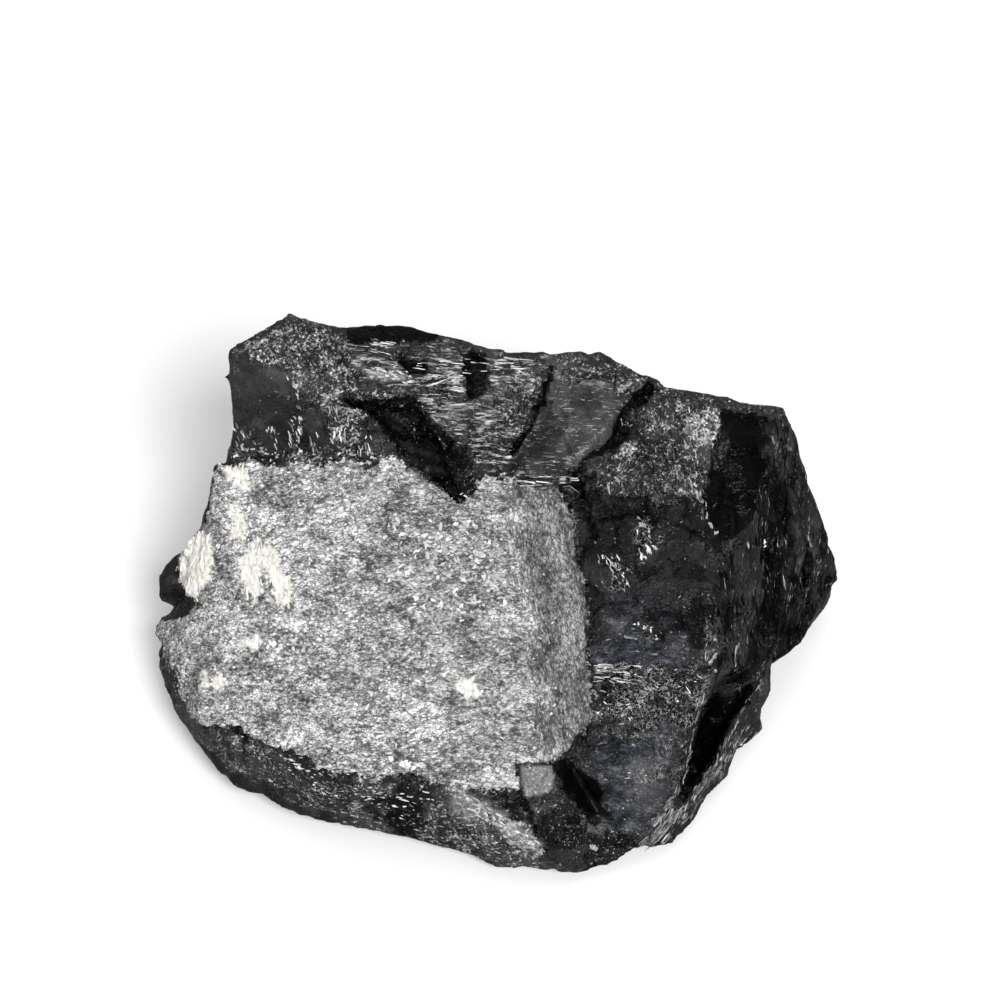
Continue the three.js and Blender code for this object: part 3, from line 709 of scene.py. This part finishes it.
def carve_rock(mesh):
    """Breaks the rock's surface into its flakes, grains and striae, and stores what the finishes follow."""
    soften(mesh)
    places = places_of(mesh)
    normals = normals_of(mesh)
    shares, depth = rock_shares(places, normals)
    foot = fade(places[:, 2], FOOT_LOW, FOOT_HIGH)
    heights = np.zeros(len(places))
    for i, place in enumerate(places):
        if foot[i] > 0 or normals[i][2] > DOWN_FACING:
            heights[i] = rock_relief(Vector(place), {name: shares[name][i] for name in RELIEFS})
    heights = evened(mesh, evened(mesh, heights))
    heights -= depth + shares["sunk"] * PIT_DEPTH
    moves = normals * heights[:, None]
    moves[:, 2] *= foot
    move_to(mesh, places + moves)
    for name in FINISHES + ("lens", "calm"):
        set_values(mesh, name, shares[name])


def skin_relief(place, cream, upright):
    """How far the mica skin stands out, in metres."""
    swell = ripple(place, 7 * MM) * 0.25 * MM
    run = LEDGE_RUN if upright < 0.5 else BED_RUN
    scales = flakes(place, 0.75 * MM, 0.35, 2.0, run, 2.2)
    fine = ripple(place, 0.45 * MM) * 0.08 * MM
    tufts = 0.15 * MM + streaks(place, 0.35 * MM, 3 * MM, 2 * MM) * 0.2 * MM
    return SKIN_RISE + swell + (scales + fine) * (1 - cream) + tufts * cream


def skin_dimness(points, loose, ragged, upright):
    """How dark the mica skin is: its steep right part, its dim and dark parts and its stains."""
    # The steep right part is darker: painted shade where the bed rolls away from the light.
    dim = np.maximum(upright * 0.55, zone(loose, [MICA_DIM], 25) * 0.25)
    dim = np.maximum(dim, zone(loose + (ragged - points) * 2, MICA_DARK, 12) * 0.42)
    for stain in MICA_STAINS:
        dim = np.maximum(dim, near_line(ragged, stain, 5) * 0.9)
    return dim


def raise_shell(mesh, keep, lifts):
    """Keeps part of a mesh and lifts a copy of each kept face, with a wall round the edge."""
    form = bmesh.new()
    form.from_mesh(mesh)
    names = ["lift_" + axis for axis in "xyz"]
    lift = [form.verts.layers.float.new(name) for name in names]
    for vert, move in zip(form.verts, lifts):
        for layer, value in zip(lift, move):
            vert[layer] = value
    form.verts.ensure_lookup_table()
    outside = [vert for vert in form.verts if not keep[vert.index]]
    bmesh.ops.delete(form, geom=outside, context="VERTS")
    raised = bmesh.ops.extrude_face_region(form, geom=form.faces[:], use_keep_orig=True)["geom"]
    for vert in [item for item in raised if isinstance(item, bmesh.types.BMVert)]:
        vert.co += Vector([vert[layer] for layer in lift])
    bmesh.ops.recalc_face_normals(form, faces=form.faces)
    for name in names:
        form.verts.layers.float.remove(form.verts.layers.float[name])
    form.to_mesh(mesh)
    form.free()


def mica_skin(source):
    """The thin crust of mica on the bed: a raised copy of the surface there, with its own thickness."""
    skin = even_mesh("mica_skin", source, SKIN_VOXEL)
    mesh = skin.data
    places = places_of(mesh)
    normals = normals_of(mesh)
    points = front_points(places)
    ragged = jagged(points, places, *MICA_RAGS)
    loose = jagged(points, places, *LOOSE_RAGS)
    creamy = jagged(points, places, *CREAM_RAGS) + jagged(points, places, *CREAM_CRUMBS) - points
    mica = reach_inside(ragged, MICA_FACE)
    cream = zone(creamy, CREAM_PATCHES, 3)
    upright = zone(loose, [MICA_RIGHT], 30)
    keep = (mica > 0) & (facing(places, normals) > TRACE)
    edge = fade(mica, 0, 5)
    corners = zip(places, cream, upright, keep)
    heights = np.array([skin_relief(Vector(p), c, u) if kept else 0 for p, c, u, kept in corners])
    heights = heights * edge + SKIN_DEPTH - EDGE_DROP * (1 - edge)
    move_to(mesh, places - normals * SKIN_DEPTH)
    set_values(mesh, "cream", cream)
    set_values(mesh, "upright", upright)
    set_values(mesh, "dim", skin_dimness(points, loose, ragged, upright))
    raise_shell(mesh, keep, normals * heights[:, None])
    mark_sharp(mesh, FACET_ANGLE)
    return skin


def scatter_points(spot, chance):
    """Random points of the front view inside a spot's outlines, or along its course."""
    if "course" in spot:
        ends = np.array(spot["course"], float)
        place = chance.rand(spot["count"]) * (len(ends) - 1)
        start = place.astype(int)
        along = ends[start] + (ends[start + 1] - ends[start]) * (place - start)[:, None]
        return along + chance.randn(spot["count"], 2) * spot["off"]
    corners = np.concatenate([np.array(outline, float) for outline in spot["outlines"]])
    low, high = corners.min(axis=0), corners.max(axis=0)
    found = np.zeros((0, 2))
    while len(found) < spot["count"]:
        tries = low + chance.rand(spot["count"] * 4, 2) * (high - low)
        reach = np.max([reach_inside(tries, outline) for outline in spot["outlines"]], axis=0)
        found = np.concatenate([found, tries[reach > 0]])
    return found[:spot["count"]]


def seat(spot, sight, carriers, plain, chance):
    """Where a plate lies on what carries it, and its axes along, across and outwards, or nothing."""
    hits = [tree.ray_cast(EYE, sight) for tree in carriers]
    hits = [hit for hit in hits if hit[0] is not None]
    if not hits:
        return None
    place = min(hits, key=lambda hit: hit[3])[0]
    normal = plain.find_nearest(place)[1]
    any_run = chance.randn(2)
    across, down = spot["run"] or any_run
    turn = spot["spread"] * chance.randn()
    run = VIEW_RIGHT * across - VIEW_UP * down
    if abs(run.normalized().dot(normal)) > STEEP:
        return None
    run.rotate(Quaternion(normal, turn))
    lean = Vector(chance.randn(3)) * spot["lean"]
    up = (normal + lean).normalized()
    side = up.cross(run).normalized()
    return place, side.cross(up).normalized(), side, up


def add_plate(form, tone, spot, seated, chance, sides):
    """One thin plate with slanting edges and uneven corners, and its tone."""
    place, run, side, up = seated
    long, wide = [MM * chance.uniform(*spot[key]) for key in ("long", "wide")]
    deep = spot["deep"] * MM
    matrix = Matrix.Translation(place - up * deep * 0.2) @ Matrix((run, side, up)).transposed().to_4x4()
    matrix = matrix @ Matrix.Diagonal((long, wide, deep, 1))
    made = bmesh.ops.create_cone(
        form, cap_ends=True, segments=sides, radius1=0.5, radius2=0.38, depth=1, matrix=matrix,
    )
    low, high = spot["tone"]
    level = low + (high - low) * chance.rand() ** 1.5
    for vert in made["verts"]:
        vert[tone] = level
        vert.co += (run * long + side * wide) * 0.2 * chance.uniform(-1, 1)
        vert.co += side * wide * 0.3 * chance.uniform(-1, 1)


def scatter(name, spots, carriers, plain, seed, sides):
    """One mesh of many small thin plates on the surfaces that carry them, along the plain form below."""
    chance = np.random.RandomState(seed)
    form = bmesh.new()
    tone = form.verts.layers.float.new("tone")
    for spot in spots:
        for across, down in scatter_points(spot, chance):
            seated = seat(spot, sight_line(across, down), carriers, plain, chance)
            if seated:
                add_plate(form, tone, spot, seated, chance, sides)
    return object_of(name, form)


# ---------------------------------------------------------------- finishes

def put(tree, kind, inputs=None, **settings):
    """A shader node with its settings, and its inputs as numbers or links."""
    made = tree.nodes.new(kind)
    for name, value in settings.items():
        setattr(made, name, value)
    for name, value in (inputs or {}).items():
        if isinstance(value, bpy.types.NodeSocket):
            tree.links.new(value, made.inputs[name])
        else:
            made.inputs[name].default_value = value
    return made


def calculate(tree, operation, *values, clamp=False):
    made = put(tree, "ShaderNodeMath", dict(enumerate(values)), operation=operation, use_clamp=clamp)
    return made.outputs[0]


def minus(tree, first, second, clamp=False):
    return calculate(tree, "SUBTRACT", first, second, clamp=clamp)


def joined(tree, operation, total, *others):
    """Numbers joined one after another by an operation."""
    for value in others:
        total = calculate(tree, operation, total, value)
    return total


def times(tree, *values):
    return joined(tree, "MULTIPLY", *values)


def plus(tree, *values):
    return joined(tree, "ADD", *values)


def greatest(tree, *values):
    return joined(tree, "MAXIMUM", *values)


def swing(tree, value, amount):
    """How far a number is from a half, by an amount."""
    return times(tree, minus(tree, value, 0.5), amount)


def arrows(tree, operation, first, second):
    """A vector from two."""
    return put(tree, "ShaderNodeVectorMath", {0: first, 1: second}, operation=operation).outputs


def blend(tree, share, low, high):
    """A colour between two, by a share."""
    made = put(tree, "ShaderNodeMix", {0: share, 6: low, 7: high}, data_type="RGBA")
    return made.outputs[2]


def chosen(tree, share, first, second):
    """One vector where a share is low and another where it is high."""
    high = calculate(tree, "GREATER_THAN", share, 0.5)
    made = put(tree, "ShaderNodeMix", {0: high, 4: first, 5: second}, data_type="VECTOR")
    return made.outputs[1]


def ramp(tree, value, *stops):
    """A grey from a number, by stops of (place, level)."""
    made = put(tree, "ShaderNodeValToRGB", {0: value})
    elements = made.color_ramp.elements
    while len(elements) < len(stops):
        elements.new(0.5)
    for element, (place, level) in zip(elements, stops):
        element.position = place
        element.color = grey(level)
    return made.outputs[0]


def stored(tree, name):
    return put(tree, "ShaderNodeAttribute", attribute_name=name).outputs["Fac"]


def clouds(tree, vector, scale, detail, roughness=0.5):
    """Noise along a vector: a number first, and a colour."""
    inputs = {"Vector": vector, "Scale": scale, "Detail": detail, "Roughness": roughness}
    return put(tree, "ShaderNodeTexNoise", inputs).outputs


def cells(tree, vector, scale, **settings):
    return put(tree, "ShaderNodeTexVoronoi", {"Vector": vector, "Scale": scale}, **settings).outputs


def channels(tree, colour):
    return put(tree, "ShaderNodeSeparateColor", {0: colour}).outputs


def millimetres(tree, along=1.0, run=None):
    """Object coordinates in millimetres, squeezed along a run so that a pattern is long that way."""
    vector = put(tree, "ShaderNodeTexCoord").outputs["Object"]
    turn = run.rotation_difference(Vector((0, 1, 0))).to_euler() if run else (0, 0, 0)
    for rotation, scale in ((turn, [1 / MM] * 3), ((0, 0, 0), (1, 1 / along, 1))):
        inputs = {"Vector": vector, "Rotation": rotation, "Scale": scale}
        vector = put(tree, "ShaderNodeMapping", inputs).outputs[0]
    return vector


def new_group(name, outputs, **inputs):
    """An empty shader group that reads a vector and named numbers, and puts out named numbers."""
    tree = bpy.data.node_groups.new(name, "ShaderNodeTree")
    tree.interface.new_socket("Vector", in_out="INPUT", socket_type="NodeSocketVector")
    for socket, value in inputs.items():
        made = tree.interface.new_socket(socket, in_out="INPUT", socket_type="NodeSocketFloat")
        made.default_value = value
    for socket in outputs:
        tree.interface.new_socket(socket, in_out="OUTPUT", socket_type="NodeSocketFloat")
    entry = tree.nodes.new("NodeGroupInput").outputs
    leave = tree.nodes.new("NodeGroupOutput").inputs
    return tree, entry, leave


def placed(tree, group, **inputs):
    """A shader group put into a material, with its inputs."""
    return put(tree, "ShaderNodeGroup", inputs, node_tree=group).outputs


def fleck_group():
    """Bright flecks that cover a share of the surface, in ragged clusters and with uneven tones."""
    tree, entry, leave = new_group("flecks", ["Mark"], Size=0.5, Cover=0.3)
    scale = calculate(tree, "DIVIDE", 1.0, entry["Size"])
    crumbs, clusters = [clouds(tree, entry["Vector"], times(tree, scale, share), 2.0, 0.8)[0]
                        for share in (0.6, 0.12)]
    tone = channels(tree, cells(tree, entry["Vector"], scale)["Color"])
    total = plus(tree, crumbs, times(tree, clusters, 0.7), times(tree, tone[1], 0.16))
    limit = minus(tree, 1.17, times(tree, entry["Cover"], 0.42))
    mark = calculate(tree, "MULTIPLY", minus(tree, total, limit), 5.0, clamp=True)
    shown = calculate(tree, "GREATER_THAN", entry["Cover"], 0.01)
    level = ramp(tree, tone[0], (0.0, 0.25), (0.6, 0.5), (1.0, 1.0))
    tree.links.new(times(tree, mark, shown, level), leave["Mark"])
    return tree


def facet_group():
    """Small flat faces: heights that give each its own tilt, a tone for each, and the cracks between them."""
    tree, entry, leave = new_group("facets", ["Height", "Tone", "Crack"], Size=1.5)
    scale = calculate(tree, "DIVIDE", 1.0, entry["Size"])
    faces = cells(tree, entry["Vector"], scale)
    edges = cells(tree, entry["Vector"], scale, feature="DISTANCE_TO_EDGE")
    away = times(tree, edges["Distance"], entry["Size"])
    offset = arrows(tree, "SUBTRACT", entry["Vector"], faces["Position"])[0]
    lean = arrows(tree, "SUBTRACT", faces["Color"], (0.5, 0.5, 0.5))[0]
    tree.links.new(arrows(tree, "DOT_PRODUCT", offset, lean)["Value"], leave["Height"])
    tree.links.new(channels(tree, faces["Color"])[2], leave["Tone"])
    tree.links.new(minus(tree, 1.5, times(tree, away, 7.0), clamp=True), leave["Crack"])
    return tree


def crinkle_group():
    """Thin crinkles that wander like the folds of a foil: 1 in a fold and 0 off it."""
    tree, entry, leave = new_group("crinkle", ["Fold"], Size=1.2, Width=0.03)
    swell = clouds(tree, entry["Vector"], calculate(tree, "DIVIDE", 1.0, entry["Size"]), 2.0)[0]
    away = calculate(tree, "ABSOLUTE", minus(tree, swell, 0.5))
    part = calculate(tree, "DIVIDE", away, entry["Width"])
    tree.links.new(minus(tree, 1.0, part, clamp=True), leave["Fold"])
    return tree


def speckle_group():
    """A sparkling mix of light and dark grains of several sizes, and the height of the fine ones."""
    tree, entry, leave = new_group("speckle", ["Value", "Height"], Size=0.45)
    scale = calculate(tree, "DIVIDE", 1.0, entry["Size"])
    tone = channels(tree, cells(tree, entry["Vector"], scale)["Color"])[0]
    crumple = clouds(tree, entry["Vector"], times(tree, scale, 0.5), 2.0, 0.8)[0]
    broad = clouds(tree, entry["Vector"], 0.28, 5.0, 0.75)[0]
    fine = plus(tree, swing(tree, tone, 0.4), swing(tree, crumple, 1.05))
    whole = plus(tree, fine, swing(tree, broad, 1.9))
    tree.links.new(calculate(tree, "ADD", whole, 0.5, clamp=True), leave["Value"])
    tree.links.new(fine, leave["Height"])
    return tree


def folds(tree, crinkle, vector, *kinds):
    """Masks of crinkles, one for each pair of a size and a width."""
    return [placed(tree, crinkle, Vector=vector, Size=size, Width=width)[0] for size, width in kinds]


def new_material(name, specular=0.5):
    material = bpy.data.materials.new(name)
    material.use_nodes = True
    shader = material.node_tree.nodes["Principled BSDF"]
    shader.inputs["Specular IOR Level"].default_value = specular
    return material, material.node_tree, shader


def dress(tree, shader, colour, roughness, height, strength, distance=0.1 * MM):
    """Feeds a shader its colour, its roughness and a bump."""
    inputs = {"Height": height, "Strength": strength, "Distance": distance}
    normal = put(tree, "ShaderNodeBump", inputs).outputs[0]
    for name, value in {"Base Color": colour, "Roughness": roughness, "Normal": normal}.items():
        tree.links.new(value, shader.inputs[name])


def mica_marks(tree, flecks, plain, run):
    """Dust, dashes along the ledges and fibres along the run, of bright mica; the dashes are partly painted
    glints.
    """
    dashed = millimetres(tree, 9, LEDGE_RUN)
    fibrous = millimetres(tree, 6, run)
    kinds = (("dust", plain, 0.33), ("dashes", dashed, 0.34), ("fibres", fibrous, 0.4))
    marks = [placed(tree, flecks, Vector=vector, Size=size, Cover=stored(tree, name))[0]
             for name, vector, size in kinds]
    return greatest(tree, *marks)


def lace(tree, crinkle, plain, cloud):
    """Thin bright curls, thick in some patches: painted glints."""
    curls = greatest(tree, *folds(tree, crinkle, plain, (1.3, 0.026), (0.7, 0.022)))
    return times(tree, curls, times(tree, stored(tree, "web"), ramp(tree, cloud, (0.45, 0.1), (0.57, 1))))


def bloomed(tree, cloud, colour):
    """A painted bluish reflection in wisps over a colour."""
    wisps = clouds(tree, millimetres(tree, 3, LEDGE_RUN), 0.7, 6.0, 0.75)[0]
    veil = times(tree, ramp(tree, cloud, (0.4, 0.1), (0.62, 1)), ramp(tree, wisps, (0.38, 0.15), (0.66, 1.6)))
    misty = blend(tree, ramp(tree, wisps, (0.52, 0), (0.72, 1)), BLUE_SHEEN_DEEP, BLUE_SHEEN_LIGHT)
    return blend(tree, times(tree, stored(tree, "bloom"), veil), colour, misty)


def worn(tree, tones, fine, colour):
    """Painted grey sheen, grey scales that are partly painted sheen, and smooth pale patches over a colour."""
    sheen = times(tree, stored(tree, "sheen"), ramp(tree, tones, (0.3, 0.15), (0.45, 0.5), (0.7, 1.2)),
                  ramp(tree, fine, (0.36, 0.45), (0.62, 1.5)))
    scaly = times(tree, ramp(tree, tones, (0.46, 0), (0.76, 1)), ramp(tree, fine, (0.35, 0.1), (0.65, 1)),
                  stored(tree, "scales"))
    smooth = times(tree, stored(tree, "pale"), ramp(tree, fine, (0.3, 0.55), (0.6, 1)))
    for share, coat in ((sheen, SHEEN_GREY), (scaly, SCALE_GREY), (smooth, SMOOTH_GREY)):
        colour = blend(tree, share, colour, coat)
    return colour


def schorl(name, groups, specular, base, roughness, run=FLANK_RUN):
    """Glossy black tourmaline of small faces, long along the run in places, with bright mica over it."""
    flecks, facets, crinkle = groups
    material, tree, shader = new_material(name, specular)
    plain = millimetres(tree)
    cloud = clouds(tree, plain, 0.3, 6.0, 0.7)[0]
    vector = chosen(tree, stored(tree, "lens"), plain, millimetres(tree, 3.5, run))
    bend = clouds(tree, vector, 0.4, 3.0, 0.65)
    bending = arrows(tree, "SUBTRACT", bend["Color"], (0.5, 0.5, 0.5))[0]
    vector = arrows(tree, "ADD", vector, arrows(tree, "MULTIPLY", bending, (5, 5, 5))[0])[0]
    fine = clouds(tree, vector, 2.2, 3.0, 0.7)[0]
    tones, heights, cracks = [], [], []
    for size, tone_share, height_share in FACES:
        face = placed(tree, facets, Vector=vector, Size=size)
        tones.append(times(tree, face["Tone"], tone_share))
        heights.append(times(tree, face["Height"], height_share))
        cracks.append(face["Crack"])
    tone = plus(tree, *tones)
    dark = ramp(tree, tone, (0.15, base * 0.2), (0.45, base * 0.7), (0.65, base * 1.6), (0.9, base * 4.5))
    colour = worn(tree, tone, fine, bloomed(tree, cloud, dark))
    rest = minus(tree, 1.0, times(tree, stored(tree, "calm"), 0.85))
    crack = times(tree, cracks[-1], ramp(tree, bend[0], (0.42, 0.1), (0.52, 1)), rest)
    colour = blend(tree, crack, colour, BLACK)
    silver = greatest(tree, mica_marks(tree, flecks, plain, run), lace(tree, crinkle, plain, cloud))
    colour = blend(tree, silver, colour, MARK_SILVER)
    rough = ramp(tree, cloud, (0.35, roughness * 1.5), (0.6, roughness * 0.7))
    relief = times(tree, plus(tree, *heights, times(tree, fine, FINE_SHARE)), rest)
    dress(tree, shader, colour, rough, relief, 1.0, MM)
    return material


def mica_finish(speckle, crinkle):
    """Silvery mica: light and dark grains with thin dark folds, steep on the right, and cream feldspar."""
    material, tree, shader = new_material("silvery_mica")
    upright = stored(tree, "upright")
    vector = chosen(tree, upright, millimetres(tree, 1.8, LEDGE_RUN), millimetres(tree, 2.2, BED_RUN))
    grains = placed(tree, speckle, Vector=vector, Size=0.32)
    patches = clouds(tree, vector, 0.45, 2.0)[0]
    *broad, fine = folds(tree, crinkle, vector, (1.5, 0.035), (0.8, 0.05), (0.5, 0.1))
    folded = greatest(tree, *broad, times(tree, fine, ramp(tree, patches, (0.4, 0.15), (0.58, 1))))
    whole = minus(tree, 1.0, times(tree, folded, 0.94))
    dim = minus(tree, 1.0, stored(tree, "dim"))
    shade = times(tree, ramp(tree, grains["Value"], *MICA_TONES), whole, dim)
    fibre = clouds(tree, millimetres(tree, 4, BED_RUN), 1.6, 4.0)[0]
    creams = blend(tree, ramp(tree, fibre, (0.35, 0), (0.62, 1)), CREAM_DEEP, CREAM_LIGHT)
    colour = blend(tree, stored(tree, "cream"), shade, creams)
    dress(tree, shader, colour, ramp(tree, grains["Value"], (0.1, 0.6), (0.9, 0.35)), grains["Height"], 0.6)
    return material


def plate_finish(name, dark, light, specular):
    """The finish of small plates: each has its own tone, mottled a little."""
    material, tree, shader = new_material(name, specular)
    mottle = clouds(tree, millimetres(tree), 3.0, 4.0)[0]
    tone = times(tree, stored(tree, "tone"), ramp(tree, mottle, (0.35, 0.75), (0.6, 1)))
    colour = blend(tree, tone, dark, light)
    dress(tree, shader, colour, ramp(tree, mottle, (0.3, 0.25), (0.7, 0.5)), mottle, 0.4)
    return material


# ---------------------------------------------------------------- stage

def floor():
    """A plain pale floor that glows a little to the eye and throws only a little light back up."""
    form = bmesh.new()
    bmesh.ops.create_grid(form, x_segments=1, y_segments=1, size=FLOOR_HALF)
    made = object_of("floor", form)
    material, tree, shader = new_material("pale_floor", 0.0)
    shown = put(tree, "ShaderNodeLightPath").outputs["Is Camera Ray"]
    tree.links.new(blend(tree, shown, grey(0.2), grey(0.88)), shader.inputs["Base Color"])
    tree.links.new(blend(tree, shown, grey(0), grey(0.04)), shader.inputs["Emission Color"])
    shader.inputs["Emission Strength"].default_value = 1.0
    shader.inputs["Roughness"].default_value = 1.0
    made.data.materials.append(material)


def lamp(name, towards, strength, width):
    """A broad lamp far away: its direction from the rock, its strength and how wide it looks, in degrees."""
    data = bpy.data.lights.new(name, "SUN")
    data.energy = strength
    data.angle = math.radians(width)
    made = new_object(name, data)
    made.rotation_euler = Vector(towards).to_track_quat("Z", "Y").to_euler()


def glow(tree, direction, towards, *stops):
    """Light of the studio's walls around one direction."""
    near = arrows(tree, "DOT_PRODUCT", direction, Vector(towards).normalized())["Value"]
    return ramp(tree, near, *stops)


def studio():
    """Soft light from above the back and from the front, lamps at the front right, and a dark right side."""
    world = bpy.data.worlds.new("studio")
    bpy.context.scene.world = world
    world.use_nodes = True
    tree = world.node_tree
    tree.nodes.clear()
    direction = put(tree, "ShaderNodeTexCoord").outputs["Generated"]
    light = plus(tree, *[glow(tree, direction, *wall) for wall in GLOWS], STUDIO_FILL)
    shown = put(tree, "ShaderNodeLightPath").outputs["Is Camera Ray"]
    seen = put(tree, "ShaderNodeMix", {0: shown, 2: light, 3: 1.0}).outputs[0]
    background = put(tree, "ShaderNodeBackground", {"Color": grey(1), "Strength": seen})
    put(tree, "ShaderNodeOutputWorld", {"Surface": background.outputs[0]})
    for name, settings in LAMPS.items():
        lamp(name, *settings)


def camera():
    data = bpy.data.cameras.new("camera")
    data.lens = LENS
    data.sensor_width = SENSOR
    data.clip_start = 0.01
    made = new_object("camera", data)
    made.location = EYE
    made.rotation_euler = (EYE_PITCH, 0, 0)
    bpy.context.scene.camera = made
    bpy.context.scene.view_settings.view_transform = "Standard"


# ---------------------------------------------------------------- pieces

def finish_rock(mesh, groups):
    """Gives each face of the rock the finish that its corners ask for: broken, pitch black or fibrous."""
    mesh.materials.append(schorl("broken_schorl", groups, 0.32, 0.01, 0.3))
    # The pitch black finish is also painted shade in openings, pits, hollows and cuts.
    mesh.materials.append(schorl("pitch_schorl", groups, 0.07, 0.002, 0.2))
    mesh.materials.append(schorl("fibrous_schorl", groups, 0.4, 0.008, 0.3, FLANGE_RUN))
    kinds = [read(mesh.attributes[name].data, "value", 1) for name in ("pitch", "fibrous")]
    for face in mesh.polygons:
        pitch, fibrous = [np.mean(kind[list(face.vertices)]) for kind in kinds]
        face.material_index = 2 if fibrous > 0.5 else int(pitch > 0.5)
    mark_sharp(mesh, FACET_ANGLE)


def main():
    noise.seed_set(NOISE_SEED)
    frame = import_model()
    cad_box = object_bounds()
    camera()
    studio()
    floor()
    node = frame["nodes"]["tourmaline_rock"]
    plain = tree_of(node)
    groups = fleck_group(), facet_group(), crinkle_group()

    rock = even_mesh("rock", node, ROCK_VOXEL)
    carve_rock(rock.data)
    keep_in_box(rock.data, *cad_box)
    finish_rock(rock.data, groups)
    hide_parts("tourmaline_rock")
    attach(rock, "root")

    skin = mica_skin(node)
    keep_in_box(skin.data, *cad_box)
    skin.data.materials.append(mica_finish(speckle_group(), groups[2]))
    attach(skin, "root")

    below = [tree_of(rock), tree_of(skin)], plain
    # Bright plates of mica, and in many places painted glints.
    flake_piece = scatter("mica_flakes", FLAKES, *below, FLAKE_SEED, FLAKE_SIDES)
    flake_piece.data.materials.append(plate_finish("bright_mica", FLAKE_DEEP, FLAKE_LIGHT, 0.5))
    blade_piece = scatter("feldspar_blades", BLADES, *below, BLADE_SEED, BLADE_SIDES)
    blade_piece.data.materials.append(plate_finish("cream_feldspar", BLADE_DEEP, BLADE_LIGHT, 0.4))
    for piece, slot in ((flake_piece, "mica"), (blade_piece, "feldspar")):
        keep_in_box(piece.data, *cad_box)
        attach(piece, "root")


main()
